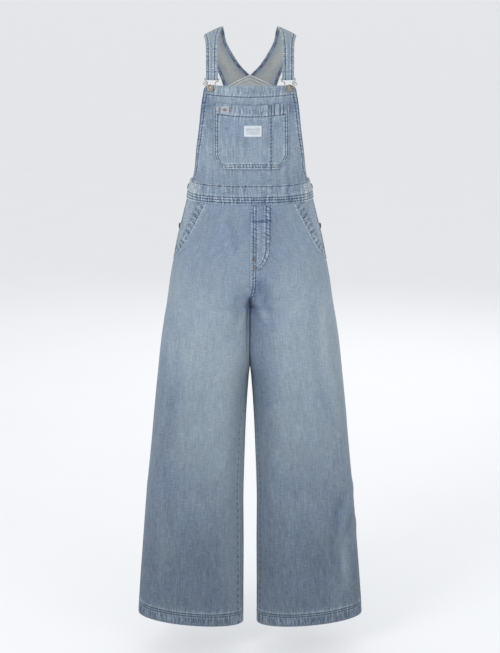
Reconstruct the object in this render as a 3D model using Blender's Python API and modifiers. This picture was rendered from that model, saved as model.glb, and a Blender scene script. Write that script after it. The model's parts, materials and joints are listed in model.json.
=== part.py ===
"""Denim dungarees, filled out as on a general figure and hollow: bib, waistband, wide legs and straps.

Heights in the tables are above the outer end of the hems, in metres. The model's own origin is on the
line between the two straps' undersides, where a wearer's shoulders carry it. Front is -Y, up is +Z.
"""

import functools
import math

import bmesh
import bpy
import numpy as np
from mathutils import Matrix, Vector

# ---------------------------------------------------------------- driving sizes, in metres
SHOULDER_HEIGHT = 1.3955  # underside of the straps above the hems' outer ends
SIDE_Y = 0.006  # side seams and inseams lie in this plane
ROUNDNESS = 2.3  # exponent of the superellipses: 2 is an ellipse, more is squarer
SEAM = 0.00025  # half of the gap between two pieces at a seam
ABOVE_BAND = 0.0009  # gap between the waistband's top and the panels above it
REST = 0.00045  # gap under a piece that lies on another

DENIM = 0.0013  # one layer of cloth
HEM_WALL = 0.0026  # cloth where a hem or a band is folded
BAND_WALL = 0.0022  # waistband
STRAP_WALL = 0.0024

WAIST_SEAM = 1.0190
BAND_TOP = 1.0630
BIB_TOP = 1.2820
BIB_HEM = 0.0255  # depth of the bib's top hem
BIB_SIDE_HEM = 0.011
HEM_DEPTH = 0.031
HEM_DROP = 0.024  # a hem's inner side hangs this much lower than its outer side
HEM_FADE = 0.35  # height at which that slope has died out
CROTCH = 0.7765

# Torso sections: height, half width, front depth, back depth.
TORSO = (
    (1.0190, 0.1418, 0.1075, 0.0900),
    (1.0400, 0.1385, 0.1075, 0.0880),
    (1.0630, 0.1325, 0.1078, 0.0865),
    (1.1000, 0.1350, 0.1100, 0.0880),
    (1.1500, 0.1400, 0.1130, 0.0950),
    (1.2000, 0.1450, 0.1140, 0.1020),
    (1.2500, 0.1490, 0.1115, 0.1060),
    (1.2950, 0.1510, 0.1055, 0.1070),
)
# Seat and leg sections: height, outer side, front depth, back depth, exponent of the superellipse.
LEG = (
    (-0.0240, 0.2722, 0.0530, 0.0670, 2.05),
    (0.0300, 0.2690, 0.0560, 0.0690, 2.05),
    (0.1600, 0.2580, 0.0640, 0.0740, 2.10),
    (0.2870, 0.2475, 0.0730, 0.0800, 2.15),
    (0.4130, 0.2342, 0.0820, 0.0860, 2.20),
    (0.5370, 0.2228, 0.0905, 0.0925, 2.20),
    (0.6100, 0.2145, 0.0960, 0.0985, 2.25),
    (0.6830, 0.2060, 0.1010, 0.1055, 2.30),
    (0.7310, 0.1990, 0.1045, 0.1130, 2.30),
    (0.7790, 0.1908, 0.1075, 0.1200, 2.30),
    (0.8270, 0.1840, 0.1095, 0.1250, 2.30),
    (0.8740, 0.1750, 0.1105, 0.1240, 2.30),
    (0.9210, 0.1660, 0.1095, 0.1160, 2.30),
    (0.9680, 0.1545, 0.1085, 0.1030, 2.30),
    (1.0190, 0.1418, 0.1075, 0.0900, 2.30),
)
# Inner side of a leg: height, distance from the middle plane.
INNER = (
    (-0.0240, 0.0188),
    (0.2870, 0.0184),
    (0.3630, 0.0172),
    (0.4380, 0.0146),
    (0.5370, 0.0094),
    (0.6100, 0.0046),
    (0.6520, 0.0022),
    (0.7200, 0.0017),
    (0.7765, 0.0017),
    (0.8300, 0.0009),
    (0.8800, 0.00025),
    (1.0190, 0.00025),
)
# The centre seams under the body: height, distance in front of or behind the middle.
RISE_FRONT = (
    (0.7765, -0.0060),
    (0.7790, 0.0170),
    (0.7850, 0.0450),
    (0.7950, 0.0700),
    (0.8100, 0.0900),
    (0.8300, 0.1030),
    (0.8500, 0.1080),
    (0.8740, 0.1105),
)
RISE_BACK = (
    (0.7765, 0.0060),
    (0.7790, 0.0250),
    (0.7850, 0.0440),
    (0.7950, 0.0650),
    (0.8120, 0.0880),
    (0.8350, 0.1070),
    (0.8600, 0.1190),
    (0.8900, 0.1217),
)
# Edges of the panels above the waistband: height, half width.
BIB_EDGE = (
    (1.0630, 0.1300),
    (1.0680, 0.1282),
    (1.0930, 0.1232),
    (1.1390, 0.1178),
    (1.1840, 0.1122),
    (1.2290, 0.1080),
    (1.2580, 0.1036),
    (1.2720, 0.1010),
    (1.2790, 0.0975),
    (1.2820, 0.0910),
)
BACK_EDGE = (
    (1.0630, 0.1300),
    (1.0720, 0.1262),
    (1.0900, 0.1160),
    (1.1200, 0.1000),
    (1.1600, 0.0845),
    (1.2000, 0.0730),
    (1.2350, 0.0640),
    (1.2620, 0.0600),
)
BACK_APEX = 1.2905  # top of the back panel's inverted V, at the centre back
# One strap from its front end over the shoulder to the back seam. Inner edge x, y, height, outer edge
# x, y, height, and how far the middle stands proud of the line between them.
STRAP = (
    (0.0715, -0.1036, 1.2985, 0.0960, -0.0935, 1.2985, 0.0000),
    (0.0715, -0.0975, 1.3250, 0.0960, -0.0866, 1.3250, 0.0003),
    (0.0712, -0.0810, 1.3560, 0.0963, -0.0708, 1.3520, 0.0008),
    (0.0697, -0.0560, 1.3830, 0.0972, -0.0500, 1.3710, 0.0010),
    (0.0655, -0.0270, 1.3995, 0.1010, -0.0250, 1.3820, 0.0012),
    (0.0612, 0.0000, 1.4053, 0.1030, 0.0010, 1.3857, 0.0014),
    (0.0590, 0.0220, 1.3965, 0.1012, 0.0250, 1.3755, 0.0016),
    (0.0550, 0.0440, 1.3730, 0.0960, 0.0470, 1.3510, 0.0020),
    (0.0405, 0.0680, 1.3420, 0.0840, 0.0700, 1.3200, 0.0025),
    (0.0220, 0.0900, 1.3130, 0.0705, 0.0885, 1.2930, 0.0026),
    (0.0012, 0.1072, 1.2913, 0.0602, 0.1012, 1.2627, 0.0022),
)
# Soft folds that run down a leg: front or back, share across the panel at the top and at the bottom,
# top and bottom height, width as a share of the panel, and how proud the fold stands.
FOLDS = (
    ("front", 0.20, 0.15, 0.900, 0.180, 0.085, 0.0050),
    ("front", 0.34, 0.30, 0.700, 0.060, 0.070, -0.0028),
    ("front", 0.62, 0.66, 0.520, 0.030, 0.090, 0.0026),
    ("front", 0.84, 0.86, 0.740, 0.250, 0.060, -0.0030),
    ("back", 0.22, 0.18, 0.820, 0.120, 0.085, 0.0048),
    ("back", 0.40, 0.36, 0.760, 0.060, 0.080, -0.0040),
    ("back", 0.58, 0.62, 0.720, 0.030, 0.085, 0.0042),
    ("back", 0.82, 0.84, 0.740, 0.250, 0.060, -0.0034),
)

SLANT_TOP_X = 0.1180  # where a hip pocket's edge meets the waistband
SLANT_RUN = 0.43  # its outward run for each metre down
SLANT_FOOT = 0.890  # height at which it meets the side seam
SLANT_HEM = 0.017
FACING_UNDERLAP = 0.10  # share of the front that a pocket facing runs on under it
FACING_SET_IN = 0.0038

POCKET_MIDDLE = 0.0030  # the bib pocket sits a little to the wearer's left
POCKET_HALF = 0.0815
POCKET_TOP = 1.2460
POCKET_SAG = 0.0065
POCKET_FOOT = 1.1000
POCKET_CHAMFER = 0.0300  # height over which its lower corners are cut off
POCKET_CUT = 0.0190  # how far they are cut in
LABEL_SIZE = (0.0380, 0.0240)
LABEL_AT = (0.0060, 1.1845)
LABEL_WALL = 0.0010
TAB_SIZE = (0.0250, 0.0170)
TAB_AT = (-0.0540, 1.2305)

FLY_WIDTH = 0.0470
FLY_FOOT = 0.8700
FLY_CURVE = 0.0520  # height over which the foot of the fly curves in

BACK_POCKET_TOP = 0.9800
BACK_POCKET_CORNER = 0.8350
BACK_POCKET_POINT = 0.8130
BACK_POCKET_MIDDLE = 0.0930  # from the centre back seam, along the cloth
BACK_POCKET_HALF = 0.0720
BACK_POCKET_TAPER = 0.0060
BACK_POCKET_REST = 0.0010

FLAP_FRONT = 0.007  # how far a side flap reaches before and behind the side seam
FLAP_BACK = 0.034
FLAP_FOOT = 0.8760
BAND_OVERLAP = 0.034  # the front waistband laps this far over the back one

BUTTON_AT = (0.0845, 1.2765)
BUTTON_RADIUS = 0.0080
SHANK_RADIUS = 0.0030
BUTTON_DOME = 0.0024
SIDE_BUTTON_RADIUS = 0.0075
SIDE_BUTTON_BACK = 0.0200  # how far behind the side seam the side buttons sit
WIRE = 0.0012  # radius of a buckle's wire
BUCKLE_HALF = 0.0160
SEAT_RADIUS = 0.0086  # the bend round the button
COIL_RADIUS = 0.0034
COIL_AT = (0.0151, 0.0090)

# ---------------------------------------------------------------- numbers of facets
LEG_COLUMNS = 14
BIB_COLUMNS = 16
BAND_COLUMNS = 26
STRAP_COLUMNS = 4
BUTTON_STEPS = 16

DENIM_BLUE = (0.33, 0.43, 0.55, 1.0)
DENIM_WRONG_SIDE = (0.52, 0.57, 0.60, 1.0)
COPPER = (0.55, 0.36, 0.25, 1.0)
NICKEL = (0.62, 0.60, 0.57, 1.0)
LABEL_WHITE = (0.85, 0.87, 0.88, 1.0)


# ---------------------------------------------------------------- smooth curves through the tables
@functools.lru_cache(maxsize=None)
def curve(table, column):
    """Knots, values and slopes of a smooth curve through a column that doesn't overshoot it."""
    knots = np.array([row[0] for row in table], float)
    values = np.array([row[column] for row in table], float)
    rises = np.diff(values) / np.diff(knots)
    both = rises[:-1] * rises[1:]
    middle = np.where(both > 0, 2 * both / (rises[:-1] + rises[1:] + 1e-30), 0.0)
    return knots, values, np.concatenate([[rises[0]], middle, [rises[-1]]])


@functools.lru_cache(maxsize=None)
def read(table, column, at):
    """A column of a table at a value of its first column, on a smooth curve."""
    knots, values, slope = curve(table, column)
    at = min(max(at, knots[0]), knots[-1])
    i = min(int(np.searchsorted(knots, at, side="right")) - 1, len(knots) - 2)
    step = knots[i + 1] - knots[i]
    t = (at - knots[i]) / step
    return float(
        values[i] * (1 + 2 * t) * (1 - t) ** 2
        + slope[i] * step * t * (1 - t) ** 2
        + values[i + 1] * t * t * (3 - 2 * t)
        + slope[i + 1] * step * t * t * (t - 1)
    )


def bell(distance, width):
    """1 at no distance, falling smoothly to nothing at twice the width."""
    t = min(abs(distance) / (2 * width), 1.0)
    return (1 - t * t) ** 2


def smooth(share):
    """0 to 1 as the share goes from 0 to 1, level at both ends."""
    share = min(max(share, 0.0), 1.0)
    return share * share * (3 - 2 * share)


def placed(x, y, height):
    """A point of the tables in the model's frame."""
    return Vector((x, y, height - SHOULDER_HEIGHT))


# ---------------------------------------------------------------- the torso's surface
def torso_y(x, height, front):
    half_width = read(TORSO, 1, height)
    depth = read(TORSO, 2 if front else 3, height)
    share = min(abs(x) / half_width, 1.0)
    rise = (1 - share**ROUNDNESS) ** (1 / ROUNDNESS)
    return SIDE_Y - (SIDE_Y + depth) * rise if front else SIDE_Y + (depth - SIDE_Y) * rise


def torso_point(x, height, front, out=0.0):
    """A point on the torso, moved outwards along its normal."""
    step = 0.0015
    point = placed(x, torso_y(x, height, front), height)
    if out:
        across = placed(x + step, torso_y(x + step, height, front), height) - placed(
            x - step, torso_y(x - step, height, front), height
        )
        up = placed(x, torso_y(x, height + step, front), height + step) - placed(
            x, torso_y(x, height - step, front), height - step
        )
        normal = across.cross(up).normalized()
        point += normal * (out if front else -out)
    return point


def ring_point(angle, height, out=0.0):
    """A point on the waist's ring: angle 0 is the centre front, a right angle the wearer's left side."""
    half_width = read(TORSO, 1, height)
    depth = read(TORSO, 2 if math.cos(angle) > 0 else 3, height)
    power = 2 / ROUNDNESS
    wide = abs(math.sin(angle)) ** power
    deep = abs(math.cos(angle)) ** power
    x = math.copysign(half_width * wide, math.sin(angle))
    if math.cos(angle) > 0:
        y = SIDE_Y - (SIDE_Y + depth) * deep
    else:
        y = SIDE_Y + (depth - SIDE_Y) * deep
    outward = Vector((math.sin(angle) * depth, -math.cos(angle) * half_width, 0)).normalized()
    return placed(x, y, height) + outward * out


def ring_normal(angle, height):
    across = ring_point(angle + 0.03, height) - ring_point(angle - 0.03, height)
    up = ring_point(angle, height + 0.004) - ring_point(angle, height - 0.004)
    return across.cross(up).normalized()


# ---------------------------------------------------------------- the seat's and legs' surface
def leg_outline(height, front):
    """A panel's section at a height, from the side seam to the centre seam or the inseam, as many points."""
    outer = read(LEG, 1, height)
    depth = read(LEG, 2 if front else 3, height)
    roundness = read(LEG, 4, height)
    inner = read(INNER, 1, height)
    rise = RISE_FRONT if front else RISE_BACK
    depth += SIDE_Y if front else -SIDE_Y
    reach = 1.0
    if height < CROTCH:
        reach = 0.0
    elif height < rise[-1][0]:
        seam = read(rise, 1, height) + (SIDE_Y if front else -SIDE_Y)
        reach = min(max(seam / depth, 0.0), 1.0)
    lean = (1 - reach**roundness) ** (1 / roundness)
    centre = (lean * outer + inner) / (1 + lean)
    last = math.pi - math.acos(min(lean ** (roundness / 2), 1.0)) if lean > 0 else math.pi / 2
    angles = np.linspace(0.0, last, 121)
    cosines = np.cos(angles)
    power = 2 / roundness
    x = centre + (outer - centre) * np.sign(cosines) * np.abs(cosines) ** power
    y = depth * np.abs(np.sin(angles)) ** power
    return np.stack([x, SIDE_Y - y if front else SIDE_Y + y], axis=1)


def shares_of(outline, bend_weight):
    """How far along the outline each point is, from 0 to 1. The weight draws columns to where it bends."""
    steps = np.diff(outline, axis=0)
    lengths = np.linalg.norm(steps, axis=1)
    headings = np.unwrap(np.arctan2(steps[:, 1], steps[:, 0]))
    turns = np.abs(np.diff(headings, prepend=headings[0]))
    along = np.concatenate([[0.0], np.cumsum(lengths + bend_weight * turns)])
    return along / along[-1], np.concatenate([[0.0], np.cumsum(lengths)])


BEND_WEIGHT = 0.030
_outlines = {}


def leg_section(height, front):
    key = (round(height, 6), front)
    if key not in _outlines:
        outline = leg_outline(height, front)
        _outlines[key] = (outline, *shares_of(outline, BEND_WEIGHT))
    return _outlines[key]


def fold(front, share, height):
    """How proud the folds make the cloth at a place."""
    total = 0.0
    for name, top_share, foot_share, top, foot, width, proud in FOLDS:
        if (name == "front") == front and foot < height < top:
            down = (top - height) / (top - foot)
            middle = top_share + (foot_share - top_share) * down
            total += proud * bell(share - middle, width) * smooth(4 * down) * smooth(5 * (1 - down))
    return total


def leg_point(share, level, front, side, out=0.0):
    """A point of a leg panel. share runs from the side seam to the inner seam, and level is its height
    before the hem's slope."""
    outline, shares, _ = leg_section(level, front)
    x = float(np.interp(share, shares, outline[:, 0]))
    y = float(np.interp(share, shares, outline[:, 1]))
    step = 0.01
    ahead, behind = min(share + step, 1.0), max(share - step, 0.0)
    along = Vector(
        (
            float(np.interp(ahead, shares, outline[:, 0]) - np.interp(behind, shares, outline[:, 0])),
            float(np.interp(ahead, shares, outline[:, 1]) - np.interp(behind, shares, outline[:, 1])),
            0,
        )
    ).normalized()
    outward = Vector((-along.y, along.x, 0)) if front else Vector((along.y, -along.x, 0))
    point = Vector((x, y, 0)) + outward * (out + fold(front, share, level))
    width = read(LEG, 1, level) - read(INNER, 1, level)
    inwards = min(max((read(LEG, 1, level) - x) / width, 0.0), 1.0)
    slope = HEM_DROP * inwards * max(1 - level / HEM_FADE, 0.0) ** 2
    return placed(side * point.x, point.y, level - slope)


def leg_normal(share, level, front, side):
    """Outward normal of a leg panel, clear of its edges."""
    across = leg_point(share + 0.01, level, front, side) - leg_point(share - 0.01, level, front, side)
    up = leg_point(share, level + 0.004, front, side) - leg_point(share, level - 0.004, front, side)
    normal = across.cross(up).normalized()
    return -normal if front == (side > 0) else normal


def slant_share(height):
    """Where the hip pocket's edge crosses a front panel at a height."""
    if height <= SLANT_FOOT:
        return 0.0
    outline, shares, _ = leg_section(height, True)
    x = min(SLANT_TOP_X + (WAIST_SEAM - height) * SLANT_RUN, outline[0, 0])
    crossing = int(np.argmax(outline[:, 0] <= x))
    return float(shares[crossing])


def share_from_side(distance, height, front):
    """The share at a distance along the cloth from the side seam."""
    _, shares, lengths = leg_section(height, front)
    return float(np.interp(distance, lengths, shares))


def share_from_middle(distance, height, front):
    """The share at a distance along the cloth from the centre seam."""
    return share_from_side(leg_section(height, front)[2][-1] - distance, height, front)


# ---------------------------------------------------------------- making objects
def clear_scene():
    for item in list(bpy.data.objects):
        bpy.data.objects.remove(item, do_unlink=True)


def new_collection(name):
    collection = bpy.data.collections.new(name)
    bpy.context.scene.collection.children.link(collection)
    return collection


def new_material(name, colour, roughness, metallic=0.0):
    material = bpy.data.materials.new(name)
    material.use_nodes = True
    shader = material.node_tree.nodes["Principled BSDF"]
    shader.inputs["Base Color"].default_value = colour
    shader.inputs["Roughness"].default_value = roughness
    shader.inputs["Metallic"].default_value = metallic
    return material


def add_object(name, data, collection, material):
    item = bpy.data.objects.new(name, data)
    data.materials.append(material)
    collection.objects.link(item)
    return item


def cloth(name, place, across, down, wall, collection, material, folded=None, mirror=False):
    """A panel of cloth: a grid whose points place() sets, made a wall by Solidify. across and down are
    the grid's own values, and folded(a, d) is true where a hem makes the cloth thicker."""
    shape = bmesh.new()
    bmesh.ops.create_grid(shape, x_segments=len(across) - 1, y_segments=len(down) - 1, size=1.0)
    thick = []
    for vertex in shape.verts:
        column = round((vertex.co.x + 1) / 2 * (len(across) - 1))
        row = round((vertex.co.y + 1) / 2 * (len(down) - 1))
        vertex.co = place(across[column], down[row])
        if folded and folded(across[column], down[row]):
            thick.append(vertex.index)
    if mirror:
        bmesh.ops.reverse_faces(shape, faces=shape.faces)
    mesh = bpy.data.meshes.new(name)
    shape.to_mesh(mesh)
    shape.free()
    item = add_object(name, mesh, collection, material)
    wall_maker = item.modifiers.new("wall", "SOLIDIFY")
    wall_maker.offset = 1.0
    wall_maker.thickness = wall
    if folded:
        item.vertex_groups.new(name="folded").add(thick, 1.0, "REPLACE")
        wall_maker.thickness = HEM_WALL
        wall_maker.vertex_group = "folded"
        wall_maker.thickness_vertex_group = wall / HEM_WALL
    mesh.shade_smooth()
    return item


def spaced(*stops):
    """Values between stops, given as value, steps, value, steps, value and so on."""
    values = [stops[0]]
    for start, steps, end in zip(stops[0::2], stops[1::2], stops[2::2]):
        values += [start + (end - start) * (i + 1) / steps for i in range(steps)]
    return values


# ---------------------------------------------------------------- cloth pieces
def make_bib(collection, denim):
    bottom = BAND_TOP + ABOVE_BAND
    levels = spaced(bottom, 3, 1.10, 7, BIB_TOP - BIB_HEM, 1, BIB_TOP - BIB_HEM + 0.002, 1, 1.272, 1, 1.279, 1, BIB_TOP)
    edge = BIB_SIDE_HEM / 0.11
    shares = spaced(-1, 1, -1 + edge, 1, -1 + edge + 0.02, BIB_COLUMNS - 4, 1 - edge - 0.02, 1, 1 - edge, 1, 1)

    def place(share, height):
        return torso_point(share * read(BIB_EDGE, 1, height), height, True)

    def folded(share, height):
        return height > BIB_TOP - BIB_HEM + 0.001 or abs(share) > 1 - edge - 0.001

    cloth("bib_front", place, shares, levels, DENIM, collection, denim, folded)


def pocket_half_width(height):
    lift = min((height - POCKET_FOOT) / POCKET_CHAMFER, 1.0)
    return POCKET_HALF - POCKET_CUT * (1 - lift) ** 1.3


def pocket_point(share, level, out):
    """A point of the bib pocket. Its top and bottom edges sag in the middle."""
    x = POCKET_MIDDLE + share * pocket_half_width(level)
    sag = POCKET_SAG * (1 - share * share)
    return torso_point(x, level - sag * (level - POCKET_FOOT) / (POCKET_TOP - POCKET_FOOT), True, out)


def make_bib_pocket(collection, denim, label_cloth):
    on_bib = DENIM + REST
    levels = spaced(POCKET_FOOT, 3, POCKET_FOOT + POCKET_CHAMFER, 5, POCKET_TOP - 0.026, 1, POCKET_TOP - 0.024, 1, POCKET_TOP)

    def place(share, level):
        return pocket_point(share, level, on_bib)

    def folded(share, level):
        return level > POCKET_TOP - 0.025

    cloth("bib_pocket", place, spaced(-1, 16, 1), levels, DENIM, collection, denim, folded)

    on_pocket = on_bib + DENIM + REST
    for name, at, size, raised, material in (
        ("pocket_label", LABEL_AT, LABEL_SIZE, on_pocket, label_cloth),
        ("pocket_tab", TAB_AT, TAB_SIZE, on_bib + HEM_WALL + REST, denim),
    ):
        across = spaced(at[0] - size[0] / 2, 4, at[0] + size[0] / 2)
        down = spaced(at[1] - size[1] / 2, 3, at[1] + size[1] / 2)
        cloth(name, lambda x, h, up=raised: torso_point(x, h, True, up), across, down, LABEL_WALL, collection, material)


def make_back_panel(collection, denim):
    bottom = BAND_TOP + ABOVE_BAND
    corner = BACK_EDGE[-1][0]
    levels = spaced(bottom, 4, 1.12, 6, corner)

    def place(share, level):
        up = (level - bottom) / (corner - bottom)
        height = level + (BACK_APEX - corner) * (1 - abs(share)) * up**3
        return torso_point(-share * read(BACK_EDGE, 1, level), height, False)

    def folded(share, level):
        return abs(share) > 0.88

    shares = spaced(-1, 1, -0.89, 1, -0.87, 6, 0, 6, 0.87, 1, 0.89, 1, 1)
    cloth("back_panel", place, shares, levels, DENIM, collection, denim, folded)


def make_waistbands(collection, denim):
    levels = spaced(WAIST_SEAM + SEAM, 4, BAND_TOP - SEAM)
    quarter = math.pi / 2
    radius = read(TORSO, 1, WAIST_SEAM)
    lap = BAND_OVERLAP / radius * 1.7
    lift_from = quarter - 0.22

    def front(angle, height):
        lift = smooth((abs(angle) - lift_from) / (quarter - lift_from))
        return ring_point(angle, height, (BAND_WALL + REST) * lift)

    def back(angle, height):
        return ring_point(angle, height)

    reach = quarter + lap
    front_angles = spaced(-reach, 3, -quarter, 2, -lift_from, BAND_COLUMNS - 10, lift_from, 2, quarter, 3, reach)
    cloth("waistband_front", front, front_angles, levels, BAND_WALL, collection, denim)
    start = quarter + 0.03
    back_angles = spaced(start, BAND_COLUMNS - 6, 2 * math.pi - start)
    cloth("waistband_back", back, back_angles, levels, BAND_WALL, collection, denim)


def make_leg_panel(name, front, side, collection, denim):
    levels = spaced(0.0, 2, HEM_DEPTH, 1, HEM_DEPTH + 0.002, 11, 0.652, 4, CROTCH, 2, 0.785, 2, 0.810, 2, SLANT_FOOT)
    levels += spaced(SLANT_FOOT, 1, SLANT_FOOT + 0.010, 1, SLANT_FOOT + 0.022, 6, WAIST_SEAM - SEAM)[1:]

    def place(share, level):
        start = max(share_from_side(SEAM, level, front), slant_share(level) if front else 0.0)
        end = share_from_middle(SEAM, level, front)
        return leg_point(start + (end - start) * share, level, front, side)

    def folded(share, level):
        at_slant = front and level > SLANT_FOOT + 0.001 and share < slant_hem_share + 0.001
        return level < HEM_DEPTH + 0.001 or at_slant

    slant_hem_share = SLANT_HEM / 0.20
    across = spaced(0, 1, slant_hem_share, LEG_COLUMNS - 1, 1)
    if front == (side > 0):
        across = [1 - share for share in across][::-1]
        cloth(name, lambda share, level: place(1 - share, level), across, levels, DENIM, collection, denim,
              lambda share, level: folded(1 - share, level))
    else:
        cloth(name, place, across, levels, DENIM, collection, denim, folded)


def make_pocket_facing(name, side, collection, denim):
    """The cloth behind a hip pocket's mouth, sewn in at the side seam and under the front elsewhere."""
    levels = spaced(SLANT_FOOT + 0.016, 7, WAIST_SEAM - SEAM)

    def place(share, level):
        start = share_from_side(SEAM, level, True)
        edge = slant_share(level)
        here = start + (edge + FACING_UNDERLAP - start) * share
        inwards = smooth((here - start) / max(edge - start, 0.001))
        return leg_point(here, level, True, side, -FACING_SET_IN * inwards)

    shares = spaced(0, 9, 1)
    if side > 0:
        cloth(name, lambda share, level: place(1 - share, level), shares, levels, DENIM, collection, denim)
    else:
        cloth(name, place, shares, levels, DENIM, collection, denim)


def make_side_flap(name, side, collection, denim):
    """The fastening strip over a side seam. Its values are distances from the seam, forwards below 0."""
    levels = spaced(FLAP_FOOT, 8, WAIST_SEAM - SEAM)

    def place(distance, level):
        front = distance < 0
        return leg_point(share_from_side(abs(distance), level, front), level, front, side, DENIM + REST)

    distances = spaced(-FLAP_FRONT, 2, 0.0, 4, FLAP_BACK)
    if side < 0:
        distances = distances[::-1]
    cloth(name, place, distances, levels, DENIM, collection, denim)


def make_back_pocket(name, side, collection, denim):
    """A patch pocket with a shallow point at its foot."""

    def place(across, up):
        foot = BACK_POCKET_CORNER + (BACK_POCKET_POINT - BACK_POCKET_CORNER) * (1 - abs(across))
        level = foot + (BACK_POCKET_TOP - foot) * up
        half = BACK_POCKET_HALF - BACK_POCKET_TAPER * (1 - up)
        share = share_from_middle(BACK_POCKET_MIDDLE + across * half, level, False)
        return leg_point(share, level, False, side, DENIM + BACK_POCKET_REST)

    columns = spaced(-1, 4, 0, 4, 1)
    rows = spaced(0, 7, 0.86, 1, 0.875, 1, 1)
    if side > 0:
        columns = columns[::-1]
    cloth(name, place, columns, rows, DENIM, collection, denim, lambda across, up: up > 0.87)


def make_fly(collection, denim):
    """The mock fly, a J-shaped piece on the wearer's left front."""
    levels = spaced(FLY_FOOT, 5, FLY_FOOT + FLY_CURVE, 5, WAIST_SEAM - SEAM)

    def place(share, level):
        lift = min((level - FLY_FOOT) / FLY_CURVE, 1.0)
        width = FLY_WIDTH * (0.16 + 0.84 * math.sqrt(1 - (1 - lift) ** 2))
        outline, shares, _ = leg_section(level, True)
        x = SEAM * 2 + width * (1 - share)
        crossing = float(np.interp(x, outline[::-1, 0], shares[::-1]))
        return leg_point(crossing, level, True, 1, DENIM + REST)

    cloth("mock_fly", lambda share, level: place(1 - share, level), spaced(0, 6, 1), levels, DENIM, collection, denim)


# ---------------------------------------------------------------- straps
STATIONS = tuple((float(i), *row) for i, row in enumerate(STRAP))


def strap_station(at):
    """Inner edge, outer edge and crown of a strap at a station, which may lie between two of the table."""
    values = [read(STATIONS, column, at) for column in range(1, 8)]
    return Vector(values[0:3]), Vector(values[3:6]), values[6]


def strap_normal(at):
    step = 0.02
    low, high = max(at - step, 0.0), min(at + step, len(STRAP) - 1.0)
    first, second = strap_station(low), strap_station(high)
    along = (second[0] + second[1]) - (first[0] + first[1])
    inner, outer, _ = strap_station(at)
    return (outer - inner).cross(along).normalized()


def strap_point(across, at, out, side):
    inner, outer, crown = strap_station(at)
    point = inner.lerp(outer, across) + strap_normal(at) * (out + crown * 4 * across * (1 - across))
    return placed(side * point.x, point.y, point.z)


def strap_path():
    """Rows of a strap, as station, distance in front of its surface and distance below the first
    station: up the back of the turned-up end, round the buckle's bar and over to the back seam."""
    turn = WIRE + 0.0003
    apart = 0.0002
    tail = [(0.9, -apart, 0.0), (0.6, -apart, 0.0), (0.35, -apart * 2, 0.0), (0.14, -turn * 0.8, 0.0)]
    bend = [(0.0, -turn * math.cos(a), turn * math.sin(a)) for a in np.linspace(0, math.pi, 6)]
    front = [(0.14, turn * 0.8, 0.0), (0.35, apart * 2, 0.0), (0.6, apart, 0.0), (0.9, apart, 0.0)]
    rest = [(at, 0.0, 0.0) for at in np.linspace(1.4, len(STRAP) - 1.0, 19)]
    return tail + bend + front + rest


def make_strap(name, side, collection, denim):
    path = strap_path()

    def place(across, row):
        at, out, below = path[int(row)]
        point = strap_point(across, at, out, side)
        return point - Vector((0, 0, below))

    rows = list(range(len(path)))
    across = spaced(0, STRAP_COLUMNS, 1)
    if side < 0:
        cloth(name, lambda share, row: place(1 - share, row), across, rows, STRAP_WALL, collection, denim)
    else:
        cloth(name, place, across, rows, STRAP_WALL, collection, denim)


# ---------------------------------------------------------------- metal
def turned(name, profile, steps, collection, material):
    """A turned piece about its own Z: the profile runs from the top of the axis, outwards and down."""
    mesh = bpy.data.meshes.new(name)
    mesh.from_pydata([(radius, 0, height) for radius, height in profile], [(i, i + 1) for i in range(len(profile) - 1)], [])
    item = add_object(name, mesh, collection, material)
    spin = item.modifiers.new("turn", "SCREW")
    spin.steps = spin.render_steps = steps
    spin.use_merge_vertices = True
    spin.merge_threshold = 0.00005
    return item


def button_profile(radius, foot, underside):
    """Heights are above the surface that the button is fixed to."""
    top = underside + BUTTON_DOME
    return (
        (0.0, top - 0.0006),
        (radius * 0.45, top - 0.0005),
        (radius * 0.62, top),
        (radius * 0.86, top - 0.0003),
        (radius, underside + 0.0009),
        (radius * 0.96, underside),
        (SHANK_RADIUS, underside),
        (SHANK_RADIUS, foot),
        (0.0, foot),
    )


def facing_matrix(point, normal, up=Vector((0, 0, 1))):
    """A frame on a surface: Z outwards along the normal, Y up along the surface."""
    z = normal.normalized()
    x = up.cross(z).normalized()
    matrix = Matrix((x, z.cross(x), z)).transposed().to_4x4()
    matrix.translation = point
    return matrix


def bib_frame(side):
    x, height = side * BUTTON_AT[0], BUTTON_AT[1]
    base = torso_point(x, height, True)
    return facing_matrix(base, torso_point(x, height, True, 0.01) - base)


def make_bib_button(name, side, collection, copper):
    foot = HEM_WALL + 0.0003
    underside = HEM_WALL + 2 * WIRE + 0.0009
    button = turned(name, button_profile(BUTTON_RADIUS, foot, underside), BUTTON_STEPS, collection, copper)
    button.matrix_world = bib_frame(side)


def make_side_button(name, base, outer, foot, collection, copper):
    profile = button_profile(SIDE_BUTTON_RADIUS, foot + 0.0003, foot + 0.0016)
    button = turned(name, profile, BUTTON_STEPS, collection, copper)
    button.matrix_world = facing_matrix(base, outer - base)


def buckle_wire(bar_y):
    """The wire of a buckle about the button, as points across and up, with its bar at a given height."""
    seat = [
        (SEAT_RADIUS * math.cos(a), SEAT_RADIUS * math.sin(a) + 0.0015)
        for a in np.linspace(-math.pi, 0, 11)
    ]
    corner = BUCKLE_HALF - 0.0010
    half = [(0.0094, 0.0080), (0.0098, 0.0120), (0.0120, 0.0145), (BUCKLE_HALF, bar_y - 0.0050)]
    half += [(BUCKLE_HALF, bar_y - 0.0015), (corner, bar_y)]
    return seat + half + [(-x, y) for x, y in reversed(half)]


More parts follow.
